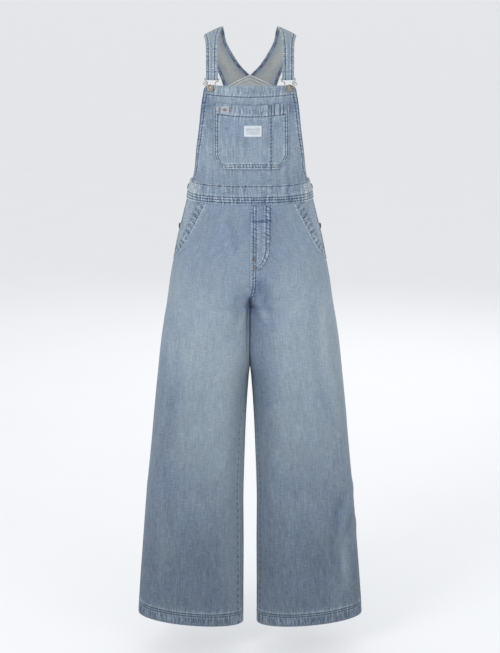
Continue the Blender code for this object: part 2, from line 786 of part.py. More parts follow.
def make_buckle(name, side, collection, nickel):
    matrix = bib_frame(side)
    low = HEM_WALL + WIRE + 0.0004
    ends = sorted((tuple(matrix.inverted() @ strap_point(share, 0.0, 0.0, side)) for share in (0.0, 1.0)))
    data = bpy.data.curves.new(name, "CURVE")
    data.dimensions = "3D"
    data.bevel_depth = WIRE
    data.bevel_resolution = 1
    outline = buckle_wire((ends[0][1] + ends[1][1]) / 2)
    spline = data.splines.new("POLY")
    spline.points.add(len(outline) - 1)
    spline.use_cyclic_u = True
    for point, (x, y) in zip(spline.points, outline):
        share = x / (ends[1][0] - ends[0][0]) + 0.5
        on_bar = [ends[0][i] + (ends[1][i] - ends[0][i]) * share for i in range(3)]
        rise = min(max((y - 0.008) / (on_bar[1] - 0.0095), 0.0), 1.0)
        point.co = (x + (on_bar[0] - x) * rise, y, low + (on_bar[2] - low) * rise, 1)
    buckle = add_object(name, data, collection, nickel)
    buckle.matrix_world = matrix


def make_coil(name, side, collection, nickel):
    """The wire's coiled end at the outer side of a buckle."""
    bpy.ops.mesh.primitive_torus_add(
        major_segments=14, minor_segments=6, major_radius=COIL_RADIUS, minor_radius=WIRE
    )
    coil = bpy.context.active_object
    coil.name = name
    coil.data.name = name
    coil.data.materials.append(nickel)
    for owner in list(coil.users_collection):
        owner.objects.unlink(coil)
    collection.objects.link(coil)
    lift = HEM_WALL + WIRE + 0.0006
    coil.matrix_world = bib_frame(side) @ Matrix.Translation((side * COIL_AT[0], COIL_AT[1], lift))


def main():
    clear_scene()
    collection = new_collection("Denim dungarees")
    denim = new_material("denim", DENIM_BLUE, 0.85)
    facing = new_material("denim wrong side", DENIM_WRONG_SIDE, 0.9)
    label_cloth = new_material("label cloth", LABEL_WHITE, 0.8)
    copper = new_material("copper", COPPER, 0.4, 1.0)
    nickel = new_material("nickel", NICKEL, 0.3, 1.0)

    make_bib(collection, denim)
    make_bib_pocket(collection, denim, label_cloth)
    make_back_panel(collection, denim)
    make_waistbands(collection, denim)
    make_fly(collection, denim)
    for word, side in (("left", 1), ("right", -1)):
        make_leg_panel(f"front_leg_{word}", True, side, collection, denim)
        make_leg_panel(f"back_leg_{word}", False, side, collection, denim)
        make_pocket_facing(f"pocket_facing_{word}", side, collection, facing)
        make_side_flap(f"side_flap_{word}", side, collection, denim)
        make_back_pocket(f"back_pocket_{word}", side, collection, denim)
        make_strap(f"strap_{word}", side, collection, denim)
        make_bib_button(f"bib_button_{word}", side, collection, copper)
        make_buckle(f"buckle_{word}", side, collection, nickel)
        make_coil(f"buckle_coil_{word}", side, collection, nickel)
        band_middle = (WAIST_SEAM + BAND_TOP) / 2
        angle = side * (math.pi / 2 + SIDE_BUTTON_BACK / 0.085)
        lap = BAND_WALL + REST
        base = ring_point(angle, band_middle, lap)
        outer = base + ring_normal(angle, band_middle)
        make_side_button(f"side_button_{word}_upper", base, outer, BAND_WALL, collection, copper)
        level = 0.950
        share = share_from_side(SIDE_BUTTON_BACK, level, False)
        base = leg_point(share, level, False, side, DENIM + REST)
        outer = base + leg_normal(share, level, False, side)
        make_side_button(f"side_button_{word}_lower", base, outer, DENIM, collection, copper)


main()
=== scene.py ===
"""Denim dungarees: cloth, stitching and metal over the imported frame.

The tables and the functions that shape the cloth are the part's own, read at many more places. Heights
in them are above the outer end of the hems, in metres. Front is -Y, up is +Z, the origin at the shoulders.
"""

import functools
import json
import math

import bmesh
import bpy
import numpy as np
from mathutils import Matrix, Vector

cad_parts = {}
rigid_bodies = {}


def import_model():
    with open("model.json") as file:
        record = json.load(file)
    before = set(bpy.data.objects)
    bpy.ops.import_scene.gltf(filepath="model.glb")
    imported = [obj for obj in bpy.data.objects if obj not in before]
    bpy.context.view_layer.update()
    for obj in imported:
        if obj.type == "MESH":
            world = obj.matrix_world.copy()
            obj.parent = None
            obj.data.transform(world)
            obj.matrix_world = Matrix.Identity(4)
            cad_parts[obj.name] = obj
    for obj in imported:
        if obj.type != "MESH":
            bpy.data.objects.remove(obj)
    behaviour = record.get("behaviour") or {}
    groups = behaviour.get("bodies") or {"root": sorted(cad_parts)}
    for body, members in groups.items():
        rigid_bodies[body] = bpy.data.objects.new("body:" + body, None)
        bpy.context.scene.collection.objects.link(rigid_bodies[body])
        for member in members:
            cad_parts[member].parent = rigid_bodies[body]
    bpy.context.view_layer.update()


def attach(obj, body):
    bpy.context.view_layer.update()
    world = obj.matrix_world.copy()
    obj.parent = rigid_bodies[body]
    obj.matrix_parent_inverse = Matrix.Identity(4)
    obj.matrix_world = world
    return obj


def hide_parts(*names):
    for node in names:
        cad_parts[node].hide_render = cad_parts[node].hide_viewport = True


for left_over in list(bpy.data.objects):
    bpy.data.objects.remove(left_over)
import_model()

# ---------------------------------------------------------------- sizes, as in the part
SHOULDER_HEIGHT = 1.3955
SIDE_Y = 0.006
ROUNDNESS = 2.3
REST = 0.00045
DENIM = 0.0013
HEM_WALL = 0.0026
BAND_WALL = 0.0022
STRAP_WALL = 0.0024
WAIST_SEAM = 1.0190
BAND_TOP = 1.0630
BIB_TOP = 1.2820
BIB_HEM = 0.0255
HEM_DROP = 0.024
HEM_FADE = 0.35
CROTCH = 0.7765

# Torso sections: height, half width, front depth, back depth.
TORSO = (
    (1.0190, 0.1418, 0.1075, 0.0900),
    (1.0400, 0.1385, 0.1075, 0.0880),
    (1.0630, 0.1325, 0.1078, 0.0865),
    (1.1000, 0.1350, 0.1100, 0.0880),
    (1.1500, 0.1400, 0.1130, 0.0950),
    (1.2000, 0.1450, 0.1140, 0.1020),
    (1.2500, 0.1490, 0.1115, 0.1060),
    (1.2950, 0.1510, 0.1055, 0.1070),
)
# Seat and leg sections: height, outer side, front depth, back depth, exponent of the superellipse.
LEG = (
    (-0.0240, 0.2722, 0.0530, 0.0670, 2.05),
    (0.0300, 0.2690, 0.0560, 0.0690, 2.05),
    (0.1600, 0.2580, 0.0640, 0.0740, 2.10),
    (0.2870, 0.2475, 0.0730, 0.0800, 2.15),
    (0.4130, 0.2342, 0.0820, 0.0860, 2.20),
    (0.5370, 0.2228, 0.0905, 0.0925, 2.20),
    (0.6100, 0.2145, 0.0960, 0.0985, 2.25),
    (0.6830, 0.2060, 0.1010, 0.1055, 2.30),
    (0.7310, 0.1990, 0.1045, 0.1130, 2.30),
    (0.7790, 0.1908, 0.1075, 0.1200, 2.30),
    (0.8270, 0.1840, 0.1095, 0.1250, 2.30),
    (0.8740, 0.1750, 0.1105, 0.1240, 2.30),
    (0.9210, 0.1660, 0.1095, 0.1160, 2.30),
    (0.9680, 0.1545, 0.1085, 0.1030, 2.30),
    (1.0190, 0.1418, 0.1075, 0.0900, 2.30),
)
# Inner side of a leg: height, distance from the middle plane.
INNER = (
    (-0.0240, 0.0188),
    (0.2870, 0.0184),
    (0.3630, 0.0172),
    (0.4380, 0.0146),
    (0.5370, 0.0094),
    (0.6100, 0.0046),
    (0.6520, 0.0022),
    (0.7200, 0.0017),
    (0.7765, 0.0017),
    (0.8300, 0.0009),
    (0.8800, 0.00025),
    (1.0190, 0.00025),
)
# The centre seams under the body: height, distance in front of or behind the middle.
RISE_FRONT = (
    (0.7765, -0.0060),
    (0.7790, 0.0170),
    (0.7850, 0.0450),
    (0.7950, 0.0700),
    (0.8100, 0.0900),
    (0.8300, 0.1030),
    (0.8500, 0.1080),
    (0.8740, 0.1105),
)
RISE_BACK = (
    (0.7765, 0.0060),
    (0.7790, 0.0250),
    (0.7850, 0.0440),
    (0.7950, 0.0650),
    (0.8120, 0.0880),
    (0.8350, 0.1070),
    (0.8600, 0.1190),
    (0.8900, 0.1217),
)
# Edges of the panels above the waistband: height, half width.
BIB_EDGE = (
    (1.0630, 0.1300),
    (1.0680, 0.1282),
    (1.0930, 0.1232),
    (1.1390, 0.1178),
    (1.1840, 0.1122),
    (1.2290, 0.1080),
    (1.2580, 0.1036),
    (1.2720, 0.1010),
    (1.2790, 0.0975),
    (1.2820, 0.0910),
)
BACK_EDGE = (
    (1.0630, 0.1300),
    (1.0720, 0.1262),
    (1.0900, 0.1160),
    (1.1200, 0.1000),
    (1.1600, 0.0845),
    (1.2000, 0.0730),
    (1.2350, 0.0640),
    (1.2620, 0.0600),
)
BACK_APEX = 1.2905
# One strap from its front end over the shoulder to the back seam: station, inner edge x, y, height,
# outer edge x, y, height, and how far the middle stands proud.
STRAP = (
    (0.0, 0.0715, -0.1036, 1.2985, 0.0960, -0.0935, 1.2985, 0.0000),
    (1.0, 0.0715, -0.0975, 1.3250, 0.0960, -0.0866, 1.3250, 0.0003),
    (2.0, 0.0712, -0.0810, 1.3560, 0.0963, -0.0708, 1.3520, 0.0008),
    (3.0, 0.0697, -0.0560, 1.3830, 0.0972, -0.0500, 1.3710, 0.0010),
    (4.0, 0.0655, -0.0270, 1.3995, 0.1010, -0.0250, 1.3820, 0.0012),
    (5.0, 0.0612, 0.0000, 1.4053, 0.1030, 0.0010, 1.3857, 0.0014),
    (6.0, 0.0590, 0.0220, 1.3965, 0.1012, 0.0250, 1.3755, 0.0016),
    (7.0, 0.0550, 0.0440, 1.3730, 0.0960, 0.0470, 1.3510, 0.0020),
    (8.0, 0.0405, 0.0680, 1.3420, 0.0840, 0.0700, 1.3200, 0.0025),
    (9.0, 0.0220, 0.0900, 1.3130, 0.0705, 0.0885, 1.2930, 0.0026),
    (10.0, 0.0012, 0.1072, 1.2913, 0.0602, 0.1012, 1.2627, 0.0022),
)
STRAP_END = 10.0
# Soft folds that run down a leg: front or back, share across the panel at the top and at the bottom,
# top and bottom height, width as a share of the panel, and how proud the fold stands.
FOLDS = (
    ("front", 0.20, 0.15, 0.900, 0.180, 0.085, 0.0050),
    ("front", 0.34, 0.30, 0.700, 0.060, 0.070, -0.0028),
    ("front", 0.62, 0.66, 0.520, 0.030, 0.090, 0.0026),
    ("front", 0.84, 0.86, 0.740, 0.250, 0.060, -0.0030),
    ("back", 0.22, 0.18, 0.820, 0.120, 0.085, 0.0048),
    ("back", 0.40, 0.36, 0.760, 0.060, 0.080, -0.0040),
    ("back", 0.58, 0.62, 0.720, 0.030, 0.085, 0.0042),
    ("back", 0.82, 0.84, 0.740, 0.250, 0.060, -0.0034),
)
SLANT_TOP_X = 0.1180
SLANT_RUN = 0.43
SLANT_FOOT = 0.890
FACING_UNDERLAP = 0.10
FACING_SET_IN = 0.0038
POCKET_MIDDLE = 0.0030
POCKET_HALF = 0.0815
POCKET_TOP = 1.2460
POCKET_SAG = 0.0065
POCKET_FOOT = 1.1000
POCKET_CHAMFER = 0.0300
POCKET_CUT = 0.0190
LABEL_SIZE = (0.0380, 0.0240)
LABEL_AT = (0.0060, 1.1845)
LABEL_WALL = 0.0010
TAB_SIZE = (0.0250, 0.0170)
TAB_AT = (-0.0540, 1.2305)
FLY_WIDTH = 0.0470
FLY_FOOT = 0.8700
FLY_CURVE = 0.0520
FLY_BAR = 0.9825  # height of the row of stitches across the fly
BACK_POCKET_TOP = 0.9800
BACK_POCKET_CORNER = 0.8350
BACK_POCKET_POINT = 0.8130
BACK_POCKET_MIDDLE = 0.0930
BACK_POCKET_HALF = 0.0720
BACK_POCKET_TAPER = 0.0060
BACK_POCKET_REST = 0.0010
FLAP_FRONT = 0.007
FLAP_BACK = 0.034
FLAP_FOOT = 0.8760
BAND_OVERLAP = 0.034
BUTTON_AT = (0.0845, 1.2765)
BUTTON_RADIUS = 0.0080
SHANK_RADIUS = 0.0030
BUTTON_DOME = 0.0024
SIDE_BUTTON_RADIUS = 0.0075
SIDE_BUTTON_BACK = 0.0200
WIRE = 0.0012
BUCKLE_HALF = 0.0160
SEAT_RADIUS = 0.0086
COIL_RADIUS = 0.0034
COIL_AT = (0.0151, 0.0090)

# ---------------------------------------------------------------- sizes that only the looks have
PRESSED = 0.0140  # how far the thighs press each other flat below the fork
PUCKER_PITCH = 0.0130  # of the broad puckers of a hem
PUCKER = 0.00042  # how far these stand up and sink
ROPE_PITCH = 0.0068  # of the fine ones between two rows of stitches
SLANTING_PITCH = 0.0140  # of the slanting ones in the hip pockets' hems
DIMPLE_PITCH = 0.0165  # of the dimples along the inseams
TURNED = 0.0015  # how far a hem's turned edge lies beyond its farthest row
SEAM_THREAD = (0.0034, 0.0027, 0.00034)  # pitch, length and half width of the stitches
HEM_THREAD = (0.0046, 0.0035, 0.0006)  # of those of the legs' hems
THREAD = SEAM_THREAD[2]
TACK_PITCH = 0.00075  # of the stitches of a bar tack
BAR_TACK = 0.0042  # how far a bar tack is across
SATIN = 0.0024  # how far the tab's zigzag is across
RIB_PITCH = 0.0013  # of the denim's twill
WEAVE_PITCH = 0.0009  # of the label's
SIDE_CURVE = 0.085  # radius of the waistband's curve where its side buttons are
SIDE_BUTTON_LOW = 0.950
RIVET = 0.0009  # how far the bib's buttons stand off the buckles' wire
SIDE_RIVET = 0.0016
POCKET_BELLY = 0.0016
BACK_POCKET_BELLY = 0.0018
LABEL_LIFT = 0.0014  # keeps the label clear of the pocket's belly
TAB_LIFT = 0.0006
# The rows of points along a strap that lie in its tail, round the buckle's bar and in front of it.
TAIL_ROWS, BEND_ROWS, FRONT_ROWS = 12, 17, 18


def both_sides(rows, rope, **others):
    """How a piece is sewn along both its sides, and along its top or bottom if it is."""
    return {"start": (rows, rope), "end": (rows, rope), **others}


# The sewn edges of each piece: how far its rows of stitches are from the edge, the farthest first, and how
# much the cloth puckers there.
SEWN = {
    "bib": both_sides((0.0095, 0.0018), 0.55, top=((BIB_HEM - 0.0015,), 0.5)),
    "bib pocket": both_sides((0.0090, 0.0040), 0.42, bottom=((0.0105, 0.0055), 0.7), top=((0.0240,), 0.6)),
    "patch": both_sides((0.0014,), 0.12, bottom=((0.0014,), 0.12), top=((0.0014,), 0.12)),
    "back panel": both_sides((0.0118, 0.0018), 0.6, top=((0.0105, 0.0020), 0.5)),
    "waistband": {"bottom": ((0.0168, 0.0110, 0.0050), 0.55), "top": ((0.0030,), 0.5)},
    "facing": {"start": ((0.0190,), 0.5)},
    "side flap": {
        "start": ((0.0020,), 0.7),
        "end": ((0.0060, 0.0018), 0.7),
        "bottom": ((0.0060, 0.0018), 0.5),
    },
    "back pocket": both_sides((0.0078, 0.0020), 0.5, bottom=((0.0078, 0.0020), 0.7), top=((0.0185,), 0.6)),
    "mock fly": {"start": ((0.0132, 0.0070), 0.4), "end": ((0.0118, 0.0030), 0.7)},
    "strap": both_sides((0.0062,), 0.6),
}
LEG_HEM = ((0.0306, 0.0252), 0.6)
SLANT_ROWS = (0.0235, 0.0020)
SLANT_ROPE = 1.3  # above 1 the ropes slant, as in the hems of the hip pockets
OUTER_SEAM = 0.0050
NO_ROW = -1.0
INSEAM_ROWS = (0.0095, 0.0020)
CENTRE_ROWS = (0.0130, 0.0075)  # of the wearer's left front, which laps over the right

# The wash of the cloth: height, 0 for the darkest slate to 1 for the palest, and 0 for blue to 1 for grey.
WASH = (
    (-0.030, 0.23, 0.78),
    (0.060, 0.195, 0.78),
    (0.160, 0.215, 0.75),
    (0.260, 0.290, 0.70),
    (0.360, 0.38, 0.75),
    (0.450, 0.45, 0.92),
    (0.560, 0.52, 0.95),
    (0.680, 0.61, 0.90),
    (0.800, 0.59, 0.76),
    (0.900, 0.50, 0.54),
    (1.019, 0.47, 0.44),
    (1.063, 0.475, 0.50),
    (1.120, 0.555, 0.58),
    (1.200, 0.510, 0.54),
    (1.290, 0.53, 0.70),
    (1.410, 0.54, 0.85),
)

FLOOR = -SHOULDER_HEIGHT - 0.090
FLOOR_RADIUS = 80.0
FLOOR_GLOW = 0.33  # makes the floor as bright as the air beyond it
AIR_COLOUR = (0.965, 0.98, 1.0, 1)
AIR_STRENGTH = 0.80
# Soft lights: name, place, aim, width and height, power, colour.
LIGHTS = (
    ("key", (-2.0, -2.6, 0.9), (0, 0, -0.7), (1.2, 1.6), 42),
    ("fill", (2.4, -2.8, 0.0), (0, 0, -0.8), (1.8, 2.4), 23, (0.97, 0.98, 1.0)),
    ("top", (0.0, -0.2, 2.6), (0, 0, -0.6), (2.4, 2.0), 8),
    ("back", (0.6, 3.2, 1.0), (0, 0, -0.7), (2.4, 2.4), 30),
)
CAMERA_AWAY = 3.6
CAMERA_HEIGHT = 1.55 - SHOULDER_HEIGHT
CAMERA_DOWN = math.radians(13.05)
CAMERA_LENS = 86.94


# ---------------------------------------------------------------- camera, light and floor
def add_camera():
    data = bpy.data.cameras.new("camera")
    data.lens = CAMERA_LENS
    camera = bpy.data.objects.new("camera", data)
    camera.location = (0, -CAMERA_AWAY, CAMERA_HEIGHT)
    camera.rotation_euler = (math.pi / 2 - CAMERA_DOWN, 0, 0)
    bpy.context.scene.collection.objects.link(camera)
    bpy.context.scene.camera = camera


def add_softbox(name, place, aim, size, power, colour=(1, 1, 1)):
    """A soft rectangular light that faces its aim."""
    data = bpy.data.lights.new(name, "AREA")
    data.shape = "RECTANGLE"
    data.size, data.size_y = size
    data.energy = power
    data.color = colour
    light = bpy.data.objects.new(name, data)
    light.location = place
    light.rotation_euler = (Vector(aim) - Vector(place)).to_track_quat("-Z", "Y").to_euler()
    bpy.context.scene.collection.objects.link(light)


def finished_mesh(name, shape, smooth_faces=True):
    """A named mesh from a bmesh, which is used up."""
    mesh = bpy.data.meshes.new(name)
    shape.to_mesh(mesh)
    shape.free()
    if smooth_faces:
        mesh.shade_smooth()
    return mesh


def add_stage():
    world = bpy.context.scene.world or bpy.data.worlds.new("studio")
    bpy.context.scene.world = world
    world.use_nodes = True
    air = world.node_tree.nodes["Background"].inputs
    air["Color"].default_value, air["Strength"].default_value = AIR_COLOUR, AIR_STRENGTH
    bpy.context.scene.view_settings.view_transform = "Standard"
    for light in LIGHTS:
        add_softbox(*light)
    shape = bmesh.new()
    bmesh.ops.create_circle(shape, cap_ends=True, segments=96, radius=FLOOR_RADIUS)
    bmesh.ops.translate(shape, verts=shape.verts, vec=(0, 0, FLOOR))
    floor = bpy.data.objects.new("floor", finished_mesh("floor", shape, False))
    bpy.context.scene.collection.objects.link(floor)
    floor.data.materials.append(floor_finish())


# ---------------------------------------------------------------- smooth curves through the tables
@functools.lru_cache(maxsize=None)
def curve(table, column):
    knots = np.array([row[0] for row in table], float)
    values = np.array([row[column] for row in table], float)
    rises = np.diff(values) / np.diff(knots)
    both = rises[:-1] * rises[1:]
    middle = np.where(both > 0, 2 * both / (rises[:-1] + rises[1:] + 1e-30), 0.0)
    return knots, values, np.concatenate([[rises[0]], middle, [rises[-1]]])


def read(table, column, at):
    """A column of a table at values of its first column, on a smooth curve."""
    knots, values, slope = curve(table, column)
    at = np.clip(at, knots[0], knots[-1])
    i = np.clip(np.searchsorted(knots, at, side="right") - 1, 0, len(knots) - 2)
    step = knots[i + 1] - knots[i]
    t = (at - knots[i]) / step
    return (
        values[i] * (1 + 2 * t) * (1 - t) ** 2
        + slope[i] * step * t * (1 - t) ** 2
        + values[i + 1] * t * t * (3 - 2 * t)
        + slope[i + 1] * step * t * t * (t - 1)
    )


def smooth(share):
    share = np.clip(share, 0.0, 1.0)
    return share * share * (3 - 2 * share)


def bell(distance, width):
    t = np.minimum(np.abs(distance) / (2 * width), 1.0)
    return (1 - t * t) ** 2


def placed(x, y, height):
    return np.stack(np.broadcast_arrays(x, y, height - SHOULDER_HEIGHT), axis=-1)


def unit(vectors):
    return vectors / (np.linalg.norm(vectors, axis=-1, keepdims=True) + 1e-12)


# ---------------------------------------------------------------- the torso's surface
def torso_y(x, height, front):
    share = np.minimum(np.abs(x) / read(TORSO, 1, height), 1.0)
    rise = (1 - share**ROUNDNESS) ** (1 / ROUNDNESS)
    if front:
        return SIDE_Y - (SIDE_Y + read(TORSO, 2, height)) * rise
    return SIDE_Y + (read(TORSO, 3, height) - SIDE_Y) * rise


def torso_point(x, height, front, out=0.0):
    def at(x, height):
        return placed(x, torso_y(x, height, front), height)

    step = 0.0015
    across, up = at(x + step, height) - at(x - step, height), at(x, height + step) - at(x, height - step)
    normal = unit(np.cross(across, up)) * (1 if front else -1)
    return at(x, height) + normal * (out + torso_creases(x, height, front))[..., None]


def torso_creases(x, height, front):
    """Slight unevenness of the bib and back panel, away from their edges."""
    inside = smooth((BIB_TOP - 0.03 - height) / 0.03) * smooth((height - BAND_TOP - 0.004) / 0.03)
    wave = 0.0007 * np.sin(31 * x + 5) * np.sin(22 * height + 1.3) + 0.0004 * np.sin(57 * x + 40 * height)
    return wave * inside * (1.0 if front else 1.5)


def ring_point(angle, height, out=0.0):
    half_width = read(TORSO, 1, height)
    front = np.cos(angle) > 0
    depth = np.where(front, read(TORSO, 2, height), read(TORSO, 3, height))
    power = 2 / ROUNDNESS
    x = np.sign(np.sin(angle)) * half_width * np.abs(np.sin(angle)) ** power
    deep = np.abs(np.cos(angle)) ** power
    y = np.where(front, SIDE_Y - (SIDE_Y + depth) * deep, SIDE_Y + (depth - SIDE_Y) * deep)
    outward = unit(np.stack([np.sin(angle) * depth, -np.cos(angle) * half_width, 0 * angle], axis=-1))
    return placed(x, y, height) + outward * np.asarray(out)[..., None]


# ---------------------------------------------------------------- the seat's and legs' surface
BEND_WEIGHT = 0.030  # metres of cloth that one radian of bend counts for in the shares
LEVEL_DIGITS = 5  # a section is shared by all levels that agree to so many digits
SECTION_POINTS = 121


@functools.lru_cache(maxsize=None)
def leg_section(height, front):
    """A panel's section at a height, from the side seam to the centre seam or the inseam."""
    outer = float(read(LEG, 1, height))
    depth = float(read(LEG, 2 if front else 3, height))
    roundness = float(read(LEG, 4, height))
    pressed = float(smooth((height - 0.600) / 0.070) * smooth((0.850 - height) / 0.090))
    nearest = float(read(INNER, 1, height) * (1 - pressed) + 0.0004 * pressed)
    nearest *= float(smooth((CROTCH + 0.010 - height) / 0.010))
    inner = nearest - PRESSED * pressed
    rise = RISE_FRONT if front else RISE_BACK
    depth += SIDE_Y if front else -SIDE_Y
    reach = 1.0
    if height < CROTCH:
        reach = 0.0
    elif height < rise[-1][0]:
        seam = float(read(rise, 1, height)) + (SIDE_Y if front else -SIDE_Y)
        reach = min(max(seam / depth, 0.0), 1.0)
    lean = (1 - reach**roundness) ** (1 / roundness)
    fading = 0.30 * min(max((rise[-1][0] + 0.08 - height) / 0.125, 0.0), 1.0) ** 2
    lean = min((lean**4 + fading**4) ** 0.25, 1.0)
    centre = (lean * outer + inner) / (1 + lean)
    last = math.pi - math.acos(min(lean ** (roundness / 2), 1.0)) if lean > 0 else math.pi / 2
    angles = np.linspace(0.0, last, SECTION_POINTS)
    cosines = np.cos(angles)
    power = 2 / roundness
    x = centre + (outer - centre) * np.sign(cosines) * np.abs(cosines) ** power
    y = depth * np.abs(np.sin(angles)) ** power
    outline = np.stack([np.maximum(x, nearest), SIDE_Y - y if front else SIDE_Y + y], axis=1)
    steps = np.diff(outline, axis=0)
    lengths = np.linalg.norm(steps, axis=1)
    headings = np.unwrap(np.arctan2(steps[:, 1], steps[:, 0]))
    turns = np.abs(np.diff(headings, prepend=headings[0]))
    along = np.concatenate([[0.0], np.cumsum(lengths + BEND_WEIGHT * turns)])
    return outline, along / along[-1], np.concatenate([[0.0], np.cumsum(lengths)])


def fold(front, share, height):
    total = np.zeros(np.shape(share))
    for name, top_share, foot_share, top, foot, width, proud in FOLDS:
        if (name == "front") == front:
            down = (top - height) / (top - foot)
            middle = top_share + (foot_share - top_share) * down
            inside = (height > foot) & (height < top)
            here = proud * bell(share - middle, width) * smooth(4 * down) * smooth(5 * (1 - down))
            total = total + np.where(inside, here, 0.0)
    return total


# Painted shade on the front legs: side (1 the wearer's left, -1 the right, 0 both), x, height, half sizes
# across and up, and depth, below 0 for painted light that makes the cloth paler. The deepest paint a nearly
# black shadow, as in the fork.
SHADES = (
    (-1, 0.032, 0.800, 0.012, 0.028, 0.24),
    (1, 0.027, 0.818, 0.016, 0.028, 0.24),
    (0, 0.000, 0.790, 0.016, 0.050, 0.14),
    (0, -0.0010, 0.794, 0.0040, 0.0085, 2.9),
    (0, 0.000, 0.735, 0.0015, 0.038, 2.7),
    (1, 0.0050, 0.815, 0.0011, 0.012, 0.9),
    (1, 0.0120, 0.815, 0.0011, 0.012, 0.7),
    (-1, 0.0075, 0.765, 0.0013, 0.030, 0.8),
    (-1, 0.0085, 0.705, 0.0013, 0.045, 0.7),
    (1, 0.018, 0.835, 0.007, 0.016, 0.22),
    (1, 0.034, 0.985, 0.020, 0.040, 0.25),
    (0, 0.002, 0.785, 0.010, 0.018, 0.45),
    (1, 0.018, 0.680, 0.034, 0.130, 0.58),
    (1, 0.020, 0.470, 0.030, 0.120, 0.22),
    (-1, 0.200, 0.640, 0.026, 0.120, 0.28),
    (-1, 0.212, 0.440, 0.032, 0.140, 0.20),
    (-1, 0.048, 0.400, 0.026, 0.200, -0.15),
    (-1, 0.042, 0.150, 0.022, 0.140, -0.17),
    (-1, 0.100, 0.390, 0.050, 0.070, -0.10),
    (1, 0.135, 0.900, 0.035, 0.080, -0.18),
    (1, 0.215, 0.120, 0.022, 0.070, -0.25),
)
PENCIL_DIVIDER = 0.0463  # x of the row of stitches beside the pencil pocket
PENCIL_PITCH = 0.0078  # of its dimples
# Bars across the pocket's hem where the pencil pocket is: x, and how dark or, below 0, how pale. The dark
# bars are painted shade, with indigo left, in the sunk rows of stitches; the pale ones lie beside them.
PENCIL_BARS = (
    (0.0412, 0.9),
    (0.0463, 1.1),
    (0.0527, 0.8),
    (0.0657, 0.8),
    (0.0723, 1.1),
    (0.0362, -0.7),
    (0.0603, -0.6),
    (0.0697, -0.6),
)
# Creases of the legs: side, where each starts and ends as x and height, its half width, and how proud it
# stands.
FRONT_CREASES = (
    (1, 0.240, 0.270, 0.216, 0.085, 0.0045, -0.0024),
    (1, 0.251, 0.240, 0.233, 0.080, 0.0080, 0.0024),
    (1, 0.014, 0.806, 0.046, 0.744, 0.0070, 0.0034),
    (1, 0.030, 0.802, 0.052, 0.770, 0.0060, -0.0030),
    (1, 0.008, 0.786, 0.032, 0.735, 0.0055, -0.0028),
    (1, 0.018, 0.845, 0.064, 0.795, 0.0110, -0.0034),
    (1, 0.022, 0.765, 0.060, 0.690, 0.0120, 0.0026),
    (-1, 0.008, 0.812, 0.036, 0.800, 0.0060, -0.0026),
    (-1, 0.010, 0.780, 0.030, 0.720, 0.0070, 0.0026),
    (-1, 0.018, 0.770, 0.050, 0.700, 0.0110, -0.0024),
    (-1, 0.049, 0.980, 0.030, 0.905, 0.0065, -0.0032),
    (-1, 0.060, 0.975, 0.040, 0.880, 0.0100, 0.0012),
    (1, 0.168, 0.820, 0.214, 0.500, 0.0100, 0.0028),
    (1, 0.150, 0.790, 0.196, 0.510, 0.0130, -0.0022),
    (-1, 0.184, 0.735, 0.208, 0.500, 0.0090, 0.0026),
    (-1, 0.168, 0.720, 0.192, 0.510, 0.0120, -0.0024),
    (1, 0.237, 0.330, 0.227, 0.120, 0.0090, 0.0040),
    (1, 0.222, 0.320, 0.210, 0.100, 0.0110, -0.0030),
    (-1, 0.228, 0.330, 0.214, 0.100, 0.0130, 0.0026),
    (0, 0.050, 0.540, 0.130, 0.470, 0.0190, 0.0016),
    (0, 0.045, 0.370, 0.140, 0.330, 0.0200, -0.0016),
)
BACK_CREASES = (
    (0, 0.018, 0.822, 0.075, 0.796, 0.0090, -0.0026),
    (0, 0.020, 0.800, 0.090, 0.768, 0.0100, 0.0028),
    (0, 0.016, 0.775, 0.060, 0.738, 0.0090, -0.0020),
    (1, 0.060, 0.560, 0.160, 0.520, 0.0160, 0.0026),
    (-1, 0.050, 0.545, 0.150, 0.515, 0.0150, 0.0028),
    (1, 0.070, 0.515, 0.170, 0.490, 0.0140, -0.0020),
    (-1, 0.060, 0.500, 0.165, 0.480, 0.0140, -0.0018),
    (1, 0.090, 0.470, 0.190, 0.455, 0.0160, 0.0018),
    (0, 0.090, 0.250, 0.180, 0.230, 0.0200, 0.0020),
    (0, 0.110, 0.140, 0.200, 0.110, 0.0180, -0.0018),
)


def creases(front, side, x, height):
    total = np.zeros(np.shape(x))
    for which, x0, h0, x1, h1, width, proud in FRONT_CREASES if front else BACK_CREASES:
        if which in (0, side):
            run, rise = x1 - x0, h1 - h0
            length = math.hypot(run, rise)
            along = ((x - x0) * run + (height - h0) * rise) / length**2
            bow = 0.06 * length * np.sin(np.pi * np.clip(along, 0, 1))
            off = ((x - x0) * rise - (height - h0) * run) / length - bow
            total = total + proud * bell(off, width) * smooth(5 * (along + 0.1)) * smooth(4 * (1.1 - along))
    drift = 0.0006 * np.sin(29 * x + 11 * height + side) * np.sin(17 * height + 2 * side + 0.7)
    return total + drift


def each_level(levels):
    """Each different level, and where it is."""
    rounded = np.round(np.asarray(levels, float), LEVEL_DIGITS)
    for here in np.unique(rounded):
        yield float(here), rounded == here


def share_at(x, level, front):
    """The share at which a leg panel passes a distance from the middle plane."""
    outline, shares, _ = leg_section(round(float(level), LEVEL_DIGITS), front)
    return np.interp(x, outline[::-1, 0], shares[::-1])


